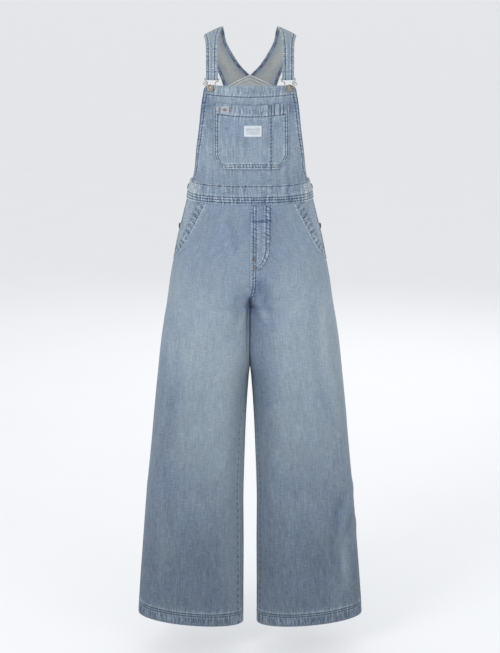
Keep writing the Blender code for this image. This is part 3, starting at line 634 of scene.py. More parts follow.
def leg_point(share, level, front, side, out=0.0):
    """Points of a leg panel, from shares across it and levels before the hem's slope."""
    share, level, out = np.broadcast_arrays(
        np.asarray(share, float), np.asarray(level, float), np.asarray(out, float)
    )
    points = np.empty(share.shape + (3,))
    for here, on in each_level(level):
        outline, shares, _ = leg_section(here, front)
        (x, y), ahead, behind = (
            [np.interp(np.clip(share[on] + step, 0, 1), shares, outline[:, k]) for k in (0, 1)]
            for step in (0.0, 0.01, -0.01)
        )
        along_x, along_y = ahead[0] - behind[0], ahead[1] - behind[1]
        length = np.hypot(along_x, along_y)
        sign = 1 if front else -1
        lift = out[on] + fold(front, share[on], here) + creases(front, side, x, here)
        x, y = x - sign * along_y / length * lift, y + sign * along_x / length * lift
        outer, inner = read(LEG, 1, here), read(INNER, 1, here)
        inwards = np.clip((outer - x) / (outer - inner), 0, 1)
        slope = HEM_DROP * inwards * max(1 - here / HEM_FADE, 0.0) ** 2
        points[on] = placed(side * x, y, here - slope)
    return points


def share_from_side(distance, height, front):
    """The share at distances along the cloth from the side seam."""
    distance, height = np.broadcast_arrays(np.asarray(distance, float), np.asarray(height, float))
    result = np.empty(distance.shape)
    for here, on in each_level(height):
        _, shares, lengths = leg_section(here, front)
        result[on] = np.interp(distance[on], lengths, shares)
    return result


def share_from_middle(distance, height, front):
    """The share at distances along the cloth from the centre seam or inseam."""
    full = np.empty(np.shape(distance))
    for here, on in each_level(np.broadcast_to(height, full.shape)):
        full[on] = leg_section(here, front)[2][-1]
    return share_from_side(full - distance, height, front)


def slant_share(height):
    """Where the hip pocket's edge crosses a front panel."""
    result = np.zeros(np.shape(height))
    for here, on in each_level(height):
        if here > SLANT_FOOT:
            result[on] = share_at(SLANT_TOP_X + (WAIST_SEAM - here) * SLANT_RUN, here, True)
    return result


# ---------------------------------------------------------------- straps
def strap_station(at):
    values = [read(STRAP, column, at) for column in range(1, 8)]
    return np.stack(values[0:3], axis=-1), np.stack(values[3:6], axis=-1), values[6]


def strap_normal(at):
    first, second = (strap_station(np.clip(at + step, 0.0, STRAP_END)) for step in (-0.02, 0.02))
    along = (second[0] + second[1]) - (first[0] + first[1])
    inner, outer, _ = strap_station(at)
    return unit(np.cross(outer - inner, along))


def strap_point(across, at, out, side):
    inner, outer, crown = strap_station(at)
    across = np.asarray(across)
    lift = (out + crown * 4 * across * (1 - across))[..., None]
    point = inner + (outer - inner) * across[..., None] + strap_normal(at) * lift
    return placed(side * point[..., 0], point[..., 1], point[..., 2])


def strap_rows():
    """Rows of a strap, as station, distance in front of its surface and distance below the bar."""
    turn, apart = WIRE + 0.0003, 0.0002

    def layer(sign, *stations):
        """The strap behind or in front of the bar, which closes up away from it."""
        off = [(at, max(apart, turn * 0.8 * math.exp(-at * 6))) for at in np.linspace(*stations)]
        return [(at, sign * out, 0.0) for at, out in off]

    bend = [(0.0, -turn * math.cos(a), turn * math.sin(a)) for a in np.linspace(0, math.pi, BEND_ROWS)]
    rest = [(at, 0.0, 0.0) for at in np.linspace(1.42, STRAP_END, 128)]
    return np.array(layer(-1, 0.9, 0.12, TAIL_ROWS) + bend + layer(1, 0.12, 1.3, FRONT_ROWS) + rest)


# ---------------------------------------------------------------- finishes
def linear(*levels):
    """A colour on the 0 to 255 scale of a screen as the shader wants it."""
    shares = [level / 255 for level in levels]
    return (*((s / 12.92 if s <= 0.04045 else ((s + 0.055) / 1.055) ** 2.4) for s in shares), 1.0)


class Value:
    """A socket in a finish's node tree that takes part in sums."""

    def __init__(self, finish, socket):
        self.finish, self.socket = finish, socket

    def maths(self, operation, *others):
        inputs = dict(enumerate((self, *others)))
        return self.finish.node("ShaderNodeMath", {"operation": operation}, inputs)

    def __add__(self, other):
        return self.maths("ADD", other)

    __radd__ = __add__

    def __mul__(self, other):
        return self.maths("MULTIPLY", other)

    __rmul__ = __mul__

    def __sub__(self, other):
        return self.maths("SUBTRACT", other)

    def __rsub__(self, other):
        return self * -1 + other

    def __truediv__(self, other):
        return self.maths("DIVIDE", other)

    def __abs__(self):
        return self.maths("ABSOLUTE")

    def sine(self):
        return self.maths("SINE")

    def clamped(self):
        return self.maths("MINIMUM", 1.0).maths("MAXIMUM", 0.0)

    def near(self, middle, reach, peak=1.0):
        """1 about a middle, falling to 0 at the peak's number of reaches from it."""
        return (peak - abs(self - middle) / reach).clamped()


class Finish:
    """A material in the making."""

    def __init__(self, name, roughness=0.85, metallic=0.0, sheen=0.0):
        self.material = bpy.data.materials.new(name)
        self.material.use_nodes = True
        self.tree = self.material.node_tree
        self.shader = self.tree.nodes["Principled BSDF"]
        self.set("Roughness", roughness)
        self.set("Metallic", metallic)
        self.set("Sheen Weight", sheen)

    def set(self, socket, value):
        target = self.shader.inputs[socket]
        if isinstance(value, Value):
            self.tree.links.new(value.socket, target)
        else:
            target.default_value = value

    def node(self, kind, settings, inputs, output=0):
        made = self.tree.nodes.new(kind)
        for key, value in settings.items():
            if key == "stops":
                ramp = made.color_ramp
                while len(ramp.elements) < len(value):
                    ramp.elements.new(0.5)
                for element, (place, colour) in zip(ramp.elements, value):
                    element.position, element.color = place, colour
            else:
                setattr(made, key, value)
        for key, value in inputs.items():
            if isinstance(value, Value):
                self.tree.links.new(value.socket, made.inputs[key])
            else:
                made.inputs[key].default_value = value
        return Value(self, made.outputs[output])

    def mix(self, share, first, second):
        """Blends two colours."""
        return self.node("ShaderNodeMix", {"data_type": "RGBA"}, {0: share, 6: first, 7: second}, 2)

    def noise(self, place, scale, detail=2.0, roughness=0.5):
        inputs = {"Vector": place, "Scale": scale, "Detail": detail, "Roughness": roughness}
        return self.node("ShaderNodeTexNoise", {}, inputs)

    def uneven(self, x, y, z=0.0, detail=2.0, roughness=0.5):
        """Noise about 0 that is as fine as its coordinates are large."""
        return self.noise(self.vector(x, y, z), 1.0, detail, roughness) - 0.5

    def vector(self, x, y, z=0.0):
        return self.node("ShaderNodeCombineXYZ", {}, {0: x, 1: y, 2: z})

    def parts(self, vector):
        return [self.node("ShaderNodeSeparateXYZ", {}, {0: vector}, i) for i in range(3)]

    def attribute(self, name, output):
        return self.node("ShaderNodeAttribute", {"attribute_name": name}, {}, output)

    def on_cloth(self):
        """Where a point is on the cut cloth: across and up it, and from and along the nearest edge."""
        u, v, _ = self.parts(self.node("ShaderNodeUVMap", {"uv_map": "cloth"}, {}))
        away, along, _ = self.parts(self.attribute("edge", 1))
        return u, v, away, along

    def bump(self, height, distance, strength=1.0):
        inputs = {"Height": height, "Distance": distance, "Strength": strength}
        self.set("Normal", self.node("ShaderNodeBump", {}, inputs))


# Shades of the cloth from the darkest to the palest, and where each stands between them.
INDIGO = (
    (0.00, (54, 70, 96)),
    (0.18, (80, 97, 123)),
    (0.38, (105, 122, 146)),
    (0.60, (129, 147, 171)),
    (0.80, (152, 168, 186)),
    (1.00, (190, 199, 206)),
)
GREYED = (
    (0.00, (62, 73, 88)),
    (0.18, (89, 101, 114)),
    (0.38, (112, 125, 137)),
    (0.60, (136, 150, 161)),
    (0.80, (160, 171, 176)),
    (1.00, (200, 204, 200)),
)


def denim_finish(name, lighter=0.0):
    """Washed denim: slubby warp and pale flecks, ropy abraded puckers between the rows of stitches, and
    dark sunk lines along them."""
    f = Finish(name, roughness=0.88, sheen=0.10)
    u, v, away, along = f.on_cloth()
    rows = f.parts(f.attribute("rows", 1))
    rope, wash, slubby, grey, shade, turned, felled = (
        f.attribute(word, 2) for word in ("rope", "wash", "slub", "grey", "shade", "turned", "felled")
    )

    warp = f.uneven(u * 330, v * 40, 0.0, 3.0, 0.65)
    slub = f.uneven(u * 120, v * 13, 4.0)
    weft = f.uneven(u * 60, v * 420, 9.0)
    fleck = f.uneven(u * 520, v * 520, 2.0, 3.0, 0.75)
    cloud = f.uneven(u * 16, v * 11, 7.0, 4.0, 0.6)
    streak = f.uneven(u * 130, v * 9, 11.0)
    tint = f.uneven(u * 22, v * 15, 13.0, 3.0)
    ribs = ((u + v * 0.62) * (math.tau / RIB_PITCH)).sine()
    grain = warp * 0.44 + slub * 0.14 + weft * 0.34 + fleck * 0.66

    share = away / (rows[0] + TURNED)
    wander = f.uneven(along * 75, away * 60, 3.0)
    ridge = ((along / ROPE_PITCH + share * 0.5 + wander * 1.7) * math.tau).sine()
    stroke = f.uneven(along * 240, away * 42, 6.0)
    between = (1.25 - abs(share - 0.55) * 2.1).clamped()
    core = (1.0 - abs(share - 0.50) * 3.4).clamped()
    beyond = (1.0 - abs(share - 1.20) * 4.2).clamped()
    worn = between * (ridge * 0.16 + stroke * 1.6 + 0.04) + beyond * (ridge * 0.08 + stroke * 0.6 + 0.06)
    puckers = rope * worn - rope * core * (0.06 + ridge * 0.10)
    piped = ((rope - 1.0) * 4.0).clamped()
    slanting = ((along / SLANTING_PITCH + share * 0.9 + wander * 0.7) * math.tau).sine()
    split = (1.0 - abs(share - 0.52) * 9.0).clamped()
    puckers = puckers * (1.0 - piped * 0.55)
    puckers = puckers + piped * (between * (1.0 - split) * (slanting * 0.19 - 0.09) + split * 0.07)
    piping = sum(away.near(at, 0.0012, 1.1) for at in (rows[0] + 0.0026, 0.0018)) * piped
    held = (rope * 1.8).clamped()
    # Dark lines along the rows: painted shade where the rows sink, with indigo left in them.
    lines = sum(away.near(row, 0.0013, 1.15) for row in rows).clamped() * held * (0.75 - ridge * 0.35)
    rims = sum(abs(away - row).near(0.0030, 0.0014, 1.1) for row in rows).clamped() * held
    lip = (1.0 - away / 0.0013).clamped() * (turned * 1.6 - 0.6)
    # Painted shade in the dimples along the inseam's row of stitches, with a paler strip beside the row.
    dimples = ((v * (math.tau / DIMPLE_PITCH)).sine() * 1.3 - 0.1).clamped()
    dimples = (1.2 - abs(felled) / 0.0030).clamped() * dimples
    dimples = dimples - (1.0 - abs(felled + 0.0048) / 0.0026).clamped() * 0.35

    tone = wash + grain * slubby + cloud * (slubby * 0.15) + streak * (slubby * 0.35 - 0.25) + ribs * 0.015
    tone = tone + puckers * 1.35 - lines * 0.66 * (1.0 - piped * 0.6) + lip * (stroke * 1.0 + 0.14)
    tone = tone + rims * (0.13 + stroke * 0.5) * (1.0 - piped * 0.7) + piping * 0.30
    # The shade attribute paints shade into the colour, and painted light where it is below 0.
    tone = tone - shade * 0.42 - dimples * 0.42 + lighter
    blue, greyed = (
        f.node("ShaderNodeValToRGB", {"stops": [(at, linear(*colour)) for at, colour in stops]}, {0: tone})
        for stops in (INDIGO, GREYED)
    )
    # Painted shade is also bluer, and past 1.85 it turns into the nearly black painted shadow of the fork's
    # gap.
    colour = f.mix((grey + tint * 1.1 + puckers * 0.5 - shade * 0.9).clamped(), blue, greyed)
    f.set("Base Color", f.mix((shade - 1.85).clamped(), colour, linear(8, 32, 58)))
    f.bump(ribs * 0.10 + grain * 0.9 + puckers * 2.6 - lines * 1.6 + rims * 0.5 + lip * 0.5, 0.00050, 0.7)
    return f.material


def wrong_side_finish():
    """The inside of the denim: pale weft, with the hems' turned right side along the edges."""
    f = Finish("denim wrong side", roughness=0.92, sheen=0.10)
    u, v, away, along = f.on_cloth()
    rows = f.parts(f.attribute("rows", 1))
    weft = f.uneven(u * 60, v * 420)
    fleck = f.uneven(u * 420, v * 420, 2.0, 2.0, 0.7)
    cloud = f.uneven(u * 16, v * 12, 7.0)
    sewn = (f.attribute("rope", 2) * 4).clamped()
    hemmed = sewn * f.attribute("turned", 2)
    turned = ((rows[0] + TURNED - away) / 0.0008).clamped() * hemmed
    halo = ((rows[0] + TURNED + 0.016 - away) / 0.016).clamped() * hemmed
    ridge = ((along / ROPE_PITCH + away * 60) * math.tau).sine()
    patch = f.uneven(along * 48, away * 130, 6.0, 3.0)
    line = sum(away.near(row, 0.0012, 1.15) for row in rows).clamped() * sewn
    tone = (0.5 + weft * 0.9 + fleck * 1.4 + cloud * 0.6).clamped()
    weft_colour = f.mix(tone, linear(138, 146, 149), linear(196, 197, 193))
    weft_colour = f.mix((halo * (0.55 + patch * 1.6)).clamped(), weft_colour, linear(126, 142, 162))
    hem_tone = (tone + ridge * 0.12 + patch * 4.0).clamped()
    hem_colour = f.mix(hem_tone, linear(68, 84, 108), linear(148, 161, 176))
    colour = f.mix(turned, weft_colour, hem_colour)
    f.set("Base Color", f.mix(line * 0.55, colour, linear(78, 90, 108)))
    f.bump(weft * 0.6 + fleck * 0.6 + turned * 1.2 - line, 0.0004, 0.5)
    return f.material


def label_finish():
    """A blank woven label: a pale frame round a duller field with plain bars."""
    f = Finish("label cloth", roughness=0.75, sheen=0.05)
    u, v, away, _ = f.on_cloth()
    weave = ((u * (math.tau / WEAVE_PITCH)).sine() * (v * (math.tau / WEAVE_PITCH)).sine()) * 0.5
    field = ((away - 0.0030) / 0.0006).clamped()
    stain = f.uneven(u * 90, v * 90, 0.0, 3.0)
    bars = abs(v - LABEL_SIZE[1] / 2).near(0.0034, 0.0012) * ((away - 0.0055) / 0.0006).clamped()
    margin, inside = (
        f.mix((0.5 + weave * 0.2 + stain * uneven).clamped(), linear(*dull), linear(*bright))
        for uneven, dull, bright in (
            (0.6, (200, 209, 216), (226, 233, 238)),
            (1.4, (158, 168, 176), (208, 213, 216)),
        )
    )
    f.set("Base Color", f.mix((bars * 0.5).clamped(), f.mix(field, margin, inside), linear(112, 128, 150)))
    f.bump(weave * 0.5 - field + bars, 0.0002, 0.5)
    return f.material


def thread_finish(name, colour):
    f = Finish(name, roughness=0.6, sheen=0.1)
    place = f.node("ShaderNodeTexCoord", {}, {}, 3)
    twist = f.noise(place, 900.0, 2.0) - 0.5
    bright = linear(*[min(c * 1.18, 245) for c in colour])
    f.set("Base Color", f.mix((0.5 + twist * 1.4).clamped(), linear(*[c * 0.82 for c in colour]), bright))
    return f.material


def metal_finish(name, base, worn, roughness):
    """Plated metal, duller in its hollows and brighter where it is rubbed."""
    f = Finish(name, roughness=roughness, metallic=1.0)
    place = f.node("ShaderNodeTexCoord", {}, {}, 3)
    blotch = f.noise(place, 420.0, 4.0, 0.6)
    scratch = f.noise(place, 2400.0, 2.0)
    f.set("Base Color", f.mix(((blotch - 0.36) * 3.6).clamped(), linear(*base), linear(*worn)))
    f.set("Roughness", (blotch * 0.35 + (roughness - 0.14)).clamped())
    f.bump(blotch + scratch * 0.4, 0.00012, 0.5)
    return f.material


def floor_finish():
    f = Finish("studio floor", roughness=0.9)
    place = f.node("ShaderNodeTexCoord", {}, {}, 3)
    tone = f.noise(place, 3.0, 2.0)
    f.set("Base Color", f.mix(tone, linear(194, 195, 197), linear(198, 199, 201)))
    f.set("Emission Color", AIR_COLOUR)
    f.set("Emission Strength", FLOOR_GLOW)
    return f.material


# ---------------------------------------------------------------- panels of cloth
def steps(*stops):
    """Values between stops, given as value, number of steps, value and so on."""
    values = [np.array([stops[0]])]
    for start, count, end in zip(stops[0::2], stops[1::2], stops[2::2]):
        values.append(start + (end - start) * np.arange(1, count + 1) / count)
    return np.concatenate(values)


class Panel:
    """A cut piece of cloth as a grid: place() sets its points from values across and up it.

    sewn gives the edges that are hemmed or seamed: start, end, bottom or top, each with the distances of
    up to three rows of stitches from the edge, the farthest first, and how much the cloth puckers there,
    as numbers or one for each row of the grid. Backwards turns the columns round, and start stays the
    first value of across.
    """

    def __init__(self, place, across, up, sewn, backwards=False, seed=0.0):
        self.backwards = backwards
        a, u = np.meshgrid(across[::-1] if backwards else across, up)
        self.points = place(a, u)
        self.measure()
        shape = self.points.shape[:2]
        self.sewn = sewn
        self.away, self.along, rope = np.zeros((3, *shape))
        self.rows = np.full((3, *shape), NO_ROW)
        nearest = np.full(shape, np.inf)
        for edge, (rows, strength) in sewn.items():
            away, along = self.distances(edge)
            settings = [np.broadcast_to(np.reshape(value, (-1, 1)), shape) for value in (*rows, strength)]
            closer = away / settings[0] < nearest
            nearest = np.where(closer, away / settings[0], nearest)
            self.rows[1:, closer] = NO_ROW
            for target, value in ((self.away, away), (self.along, along), (rope, settings[-1])):
                target[closer] = value[closer]
            for target, value in zip(self.rows, settings[:-1]):
                target[closer] = value[closer]
        t = self.away / (self.rows[0] + TURNED)
        window = smooth(t * 2.2 + 0.25) * (1 - smooth((t - 0.85) / 0.75))
        window = window + 0.35 * smooth((t - 0.9) / 0.3) * (1 - smooth((t - 1.3) / 1.2))
        phase = self.along / PUCKER_PITCH + 0.42 * t + 0.35 * np.sin(self.along * 67 + seed)
        phase = phase + 0.22 * np.sin(self.along * 151 + 2.1 * seed)
        size = 0.62 + 0.38 * np.sin(self.along * 43 + 1.7 * seed) * np.sin(self.along * 19 + seed)
        puckers = PUCKER * rope * window * size * np.sin(2 * np.pi * phase)
        self.rope, self.folded = rope, (t < 1.03) & (rope > 0)
        self.shade, self.felled, self.turned = np.zeros(shape), np.ones(shape), np.ones(shape)
        dip = 0.0004 * np.exp(-((self.away / 0.0015) ** 2))
        self.points = self.points + self.normal * (puckers - dip)[..., None]
        self.measure()
        middle = self.points.shape[1] // 2
        self.u = self.from_start - self.from_start[:, middle : middle + 1]
        self.v = np.broadcast_to(self.from_bottom[:, middle : middle + 1], self.u.shape)

    def measure(self):
        rightward = np.gradient(self.points, axis=1)
        upward = np.gradient(self.points, axis=0)
        self.normal = unit(np.cross(rightward, upward))
        steps_across = np.linalg.norm(np.diff(self.points, axis=1), axis=2)
        steps_up = np.linalg.norm(np.diff(self.points, axis=0), axis=2)
        self.from_start = np.pad(np.cumsum(steps_across, axis=1), ((0, 0), (1, 0)))
        self.from_bottom = np.pad(np.cumsum(steps_up, axis=0), ((1, 0), (0, 0)))
        self.from_end = self.from_start[:, -1:] - self.from_start
        self.from_top = self.from_bottom[-1:] - self.from_bottom
        quads = steps_across[:-1] * steps_up[:, :-1]
        self.area = float(quads.sum())
        self.size = (float(self.from_start[:, -1].max()), float(self.from_bottom[-1].max()))

    def named(self, edge):
        return {"start": "end", "end": "start"}.get(edge, edge) if self.backwards else edge

    def distances(self, edge):
        """How far each point is from an edge, and how far along it."""
        edge = self.named(edge)
        away = {"start": self.from_start, "end": self.from_end}
        away.update({"bottom": self.from_bottom, "top": self.from_top})
        if edge in ("start", "end"):
            return away[edge], self.from_bottom
        return away[edge], self.from_start - self.from_start.mean(axis=1)[:, None]

    def outer_face(self, wall):
        """The grid's points on the outer face, each with its normal."""
        return np.concatenate([self.points + self.normal * wall, self.normal], axis=2)

    def line(self, edge, inset, wall, first=0.0, last=1.0):
        """Points and normals along a line at a distance inside an edge, on the outer face."""
        away, _ = self.distances(edge)
        edge = self.named(edge)
        outer = self.outer_face(np.reshape(wall, (-1, 1, 1)))
        if edge in ("bottom", "top"):
            away, outer = away.T, outer.transpose(1, 0, 2)
        order = 1 if edge in ("start", "bottom") else -1
        picked = np.array(
            [
                [np.interp(distance, away[i, ::order], outer[i, ::order, k]) for k in range(6)]
                for i, distance in enumerate(np.broadcast_to(inset, len(away)))
            ]
        )
        low, high = int(first * (len(picked) - 1)), int(math.ceil(last * (len(picked) - 1)))
        return picked[low : high + 1]

    def threads(self, edge, wall, first=0.0, last=1.0):
        """The lines of an edge's rows of stitches."""
        return [self.line(edge, row, wall, first, last) for row in self.sewn[edge][0]]

    def all_threads(self, wall, first=0.0):
        return [line for edge in self.sewn for line in self.threads(edge, wall, first)]

    def path(self, places, wall):
        """Points and normals on the outer face at fractions of the grid, as pairs across and up."""
        flat = self.outer_face(wall)
        rows, columns = flat.shape[:2]
        picked = []
        for across, up in places:
            j, i = across * (columns - 1), up * (rows - 1)
            j0, i0 = min(int(j), columns - 2), min(int(i), rows - 2)
            fj, fi = j - j0, i - i0
            low = flat[i0, j0] * (1 - fj) + flat[i0, j0 + 1] * fj
            high = flat[i0 + 1, j0] * (1 - fj) + flat[i0 + 1, j0 + 1] * fj
            picked.append(low * (1 - fi) + high * fi)
        return np.array(picked)


def link(name, mesh, materials, node=None, slot="denim"):
    item = bpy.data.objects.new(name, mesh)
    bpy.context.scene.collection.objects.link(item)
    for material in materials:
        mesh.materials.append(material)
    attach(item, "root")
    if node:
        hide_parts(node)
    return item


def sew_in(node, panel, wall, materials, folded=False, slub=1.0, paler=0.0, slot="denim"):
    """Makes a panel's mesh, with its wall, thicker where it is folded. Paler is how much paler and greyer
    it is made towards the garment's sides, painted light where the cloth turns away there as well as wear."""
    name = f"{node}_cloth"
    rows, columns = panel.points.shape[:2]
    shape = bmesh.new()
    bmesh.ops.create_grid(shape, x_segments=columns - 1, y_segments=rows - 1, size=1.0)
    corners = np.array([vertex.co for vertex in shape.verts])
    mesh = finished_mesh(name, shape)
    column = np.round((corners[:, 0] + 1) / 2 * (columns - 1)).astype(int)
    row = np.round((corners[:, 1] + 1) / 2 * (rows - 1)).astype(int)
    mesh.vertices.foreach_set("co", panel.points[row, column].ravel())
    height = panel.points[..., 2] + SHOULDER_HEIGHT
    # Paler and greyer towards the garment's sides: painted light where the cloth turns away from the lamps
    # there, and wear.
    worn = paler * smooth((np.abs(panel.points[..., 0]) - 0.100) / 0.03)
    for word, value in (
        ("edge", np.stack([panel.away, panel.along, 0 * panel.away], axis=-1)),
        ("rows", np.moveaxis(panel.rows, 0, -1)),
        ("rope", panel.rope),
        ("wash", read(WASH, 1, height) + worn),
        ("grey", read(WASH, 2, height) + 1.4 * worn),
        ("slub", np.full(height.shape, slub)),
        ("shade", panel.shade),
        ("felled", panel.felled),
        ("turned", panel.turned),
    ):
        kind, field = ("FLOAT_VECTOR", "vector") if value.ndim == 3 else ("FLOAT", "value")
        mesh.attributes.new(word, kind, "POINT").data.foreach_set(field, value[row, column].ravel())
    mesh.uv_layers.new(name="cloth")
    loops = np.empty(len(mesh.loops), int)
    mesh.loops.foreach_get("vertex_index", loops)
    metric = np.stack([panel.u, panel.v], axis=-1)[row, column][loops]
    mesh.uv_layers["cloth"].data.foreach_set("uv", metric.ravel())
    mesh.update()
    item = link(name, mesh, materials, node, slot=slot)
    maker = item.modifiers.new("wall", "SOLIDIFY")
    maker.thickness, maker.offset = wall, 1.0
    if folded:
        thick = np.flatnonzero(panel.folded[row, column]).tolist()
        item.vertex_groups.new(name="folded").add(thick, 1.0, "REPLACE")
        maker.vertex_group = "folded"
        maker.thickness, maker.thickness_vertex_group = HEM_WALL, wall / HEM_WALL
    if len(materials) > 1:
        maker.material_offset = 1
    width, length = panel.size
    min(panel.area, width * length)


# ---------------------------------------------------------------- thread
def along_line(line, pitch):
    """Places at even steps along a line, as points, directions and normals."""
    lengths = np.concatenate([[0.0], np.cumsum(np.linalg.norm(np.diff(line[:, :3], axis=0), axis=1))])
    count = max(int(lengths[-1] / pitch), 1)
    at = (np.arange(count) + 0.5) * lengths[-1] / count
    here, ahead, behind = (
        np.stack([np.interp(at + step, lengths, column) for column in line.T], axis=1)
        for step in (0.0, 0.0006, -0.0006)
    )
    return here[:, :3], unit(ahead[:, :3] - behind[:, :3]), unit(here[:, 3:])


def stitched(name, lines, material, crossways=0.0, size=SEAM_THREAD):
    """Rows of stitches as one mesh of small grains of thread, or bar tacks that are so far across."""
    pitch, length, half = size
    if crossways:
        pitch, length = TACK_PITCH, crossways
    shape = bmesh.new()
    for line in lines:
        for point, heading, normal in zip(*along_line(line, pitch)):
            side = np.cross(normal, heading)
            long_way, short_way = (side, -heading) if crossways else (heading, side)
            placing = Matrix(
                (
                    (*(long_way * length / 2), 0),
                    (*(short_way * half), 0),
                    (*(normal * THREAD * 0.8), 0),
                    (0, 0, 0, 1),
                )
            ).transposed()
            placing.translation = Vector(point + normal * THREAD * 0.35)
            bmesh.ops.create_icosphere(shape, subdivisions=1, radius=1.0, matrix=placing)
    link(name, finished_mesh(name, shape), [material])


# ---------------------------------------------------------------- cloth pieces
def fine_ends(count, width, first=0.0, last=1.0):
    """Shares across a panel, closer together along both edges."""
    near = np.array([0.0, 0.0006, 0.0018, 0.0034, 0.0056, 0.0080]) / width
    shares = np.concatenate([near, np.linspace(0.0105 / width, 1 - 0.0105 / width, count), 1 - near[::-1]])
    return first + (last - first) * shares


def line_on(point, out, *place):
    """A line on a surface that is ready for thread, from what the surface's function takes."""
    base, above = point(*place, out), point(*place, out + 0.001)
    return np.concatenate([base, unit(above - base)], axis=1)


def torso_line(places, out):
    """A line on the torso's front through places, as x and height."""
    return line_on(torso_point, out, *np.array(places, float).T, True)


def fly_line(places, out):
    """A line on the wearer's left front through places, as x and height."""
    shares = [float(share_at(x, level, True)) for x, level in places]
    return line_on(leg_point, out, shares, [level for _, level in places], True, 1)


def hem_threads(panel):
    """The rows along the top and both sides of a panel that starts behind the waistband."""
    hidden = 0.06
    return panel.threads("top", HEM_WALL) + [
        line for edge in ("start", "end") for line in panel.threads(edge, HEM_WALL, hidden)
    ]


def make_bib(looks):
    levels = steps(BAND_TOP - 0.004, 3, BAND_TOP + 0.004, 84, 1.250, 20, 1.279, 4, BIB_TOP)

    def place(share, height):
        return torso_point(share * read(BIB_EDGE, 1, height), height, True)

    bib = Panel(place, fine_ends(104, 0.22, -1, 1), levels, SEWN["bib"], seed=1.0)
    x, height = bib.points[..., 0], bib.points[..., 2] + SHOULDER_HEIGHT
    sag = POCKET_SAG * (1 - np.clip(np.abs(x - POCKET_MIDDLE) / POCKET_HALF, 0, 1) ** 2)
    outside = np.abs(x - POCKET_MIDDLE) - pocket_half_width(np.clip(height, POCKET_FOOT, POCKET_TOP))
    outside = np.maximum(outside, np.maximum(POCKET_FOOT - height, height - (POCKET_TOP - sag)))
    # Painted shadow round the pocket's outline and painted shade along the bib's edge on the wearer's
    # right; the patches below the top corners are less washed, bluer cloth.
    bib.shade = 0.45 * smooth(1 - outside / 0.0050) * smooth(1 - (height - POCKET_TOP + 0.012) / 0.012)
    bib.shade += 0.35 * smooth(1 - bib.from_start / 0.016)
    bib.shade += 0.40 * bell(np.abs(x) - 0.094, 0.010) * bell(height - 1.2400, 0.014)
    sew_in("bib_front", bib, DENIM, looks["denim"], folded=True, slub=1.5)
    corner = ((0.070, 1.2563), (0.082, 1.2558), (0.092, 1.2530), (0.0985, 1.2475), (0.1020, 1.2395))
    return hem_threads(bib) + [torso_line([(side * x, h) for x, h in corner], HEM_WALL) for side in (-1, 1)]


def pocket_half_width(height):
    lift = np.clip((height - POCKET_FOOT) / POCKET_CHAMFER, 0.0, 1.0)
    return POCKET_HALF - POCKET_CUT * (1 - lift) ** 1.3


def pocket_point(share, level, out):
    """A point of the bib pocket. Its top and bottom edges sag in the middle."""
    x = POCKET_MIDDLE + share * pocket_half_width(level)
    sag = POCKET_SAG * (1 - share * share)
    return torso_point(x, level - sag * (level - POCKET_FOOT) / (POCKET_TOP - POCKET_FOOT), True, out)


def make_bib_pocket(looks):
    on_bib = DENIM + REST
    levels = fine_ends(58, POCKET_TOP - POCKET_FOOT, POCKET_FOOT, POCKET_TOP)

    def place(share, level):
        belly = POCKET_BELLY * (1 - share**2) * smooth((POCKET_TOP - level) / 0.02 + 0.3)
        return pocket_point(share, level, on_bib + belly)

    pocket = Panel(place, fine_ends(96, 0.16, -1, 1), levels, SEWN["bib pocket"], seed=2.0)
    x, height = pocket.points[..., 0], pocket.points[..., 2] + SHOULDER_HEIGHT
    # Painted shade in the dimples along the pencil pocket's row of stitches, and in the bars across its
    # hem.
    divided = bell(x - PENCIL_DIVIDER, 0.0012) * (1.0 + 0.8 * np.sin(height * math.tau / PENCIL_PITCH))
    bars = sum(depth * bell(x - at, 0.0011) for at, depth in PENCIL_BARS)
    pocket.shade = 0.95 * divided * smooth((1.219 - height) / 0.004)
    pocket.shade += bars * smooth((height - 1.217) / 0.003)
    sew_in("bib_pocket", pocket, DENIM, looks["denim"], folded=True, slub=1.5)
    lines = pocket.all_threads(HEM_WALL)

    def on_pocket(places, lift=0.0020):
        return torso_line(places, on_bib + DENIM + lift)

    lines.append(on_pocket([(PENCIL_DIVIDER, h) for h in np.linspace(1.213, 1.120, 16)]))
    for x, depth in PENCIL_BARS:
        if depth > 0:
            lines.append(on_pocket([(x, h) for h in np.linspace(1.221, 1.243, 6)], 0.0028))
    tacks = [on_pocket([(x, h) for h in (1.2385, 1.2445)], 0.0034) for x in (-0.0765, 0.0818)]

    def patch(name, at, size, raised, look, slot):
        across, up = (
            fine_ends(count, size[i], at[i] - size[i] / 2, at[i] + size[i] / 2)
            for i, count in enumerate((16, 10))
        )
        made = Panel(lambda x, h: torso_point(x, h, True, raised), across, up, SEWN["patch"])
        sew_in(name, made, LABEL_WALL, look, slot=slot)
        return made

    raised = on_bib + DENIM + REST + LABEL_LIFT
    label = patch("pocket_label", LABEL_AT, LABEL_SIZE, raised, looks["label"], "label_cloth")
    lines += [label.line(edge, 0.0014, LABEL_WALL, 0.04, 0.96) for edge in SEWN["patch"]]
    raised = on_bib + HEM_WALL + REST + TAB_LIFT
    tab = patch("pocket_tab", TAB_AT, TAB_SIZE, raised, looks["tab"], "denim")
    tacks += [tab.line(edge, 0.0022, LABEL_WALL, 0.10, 0.90) for edge in ("start", "end")]
    zigzag = [(0.18 + 0.08 * i, 0.2 if i % 2 else 0.8) for i in range(9)]
    return lines, tacks, [tab.path(places, LABEL_WALL) for places in (zigzag, [(0.2, 0.5), (0.8, 0.5)])]


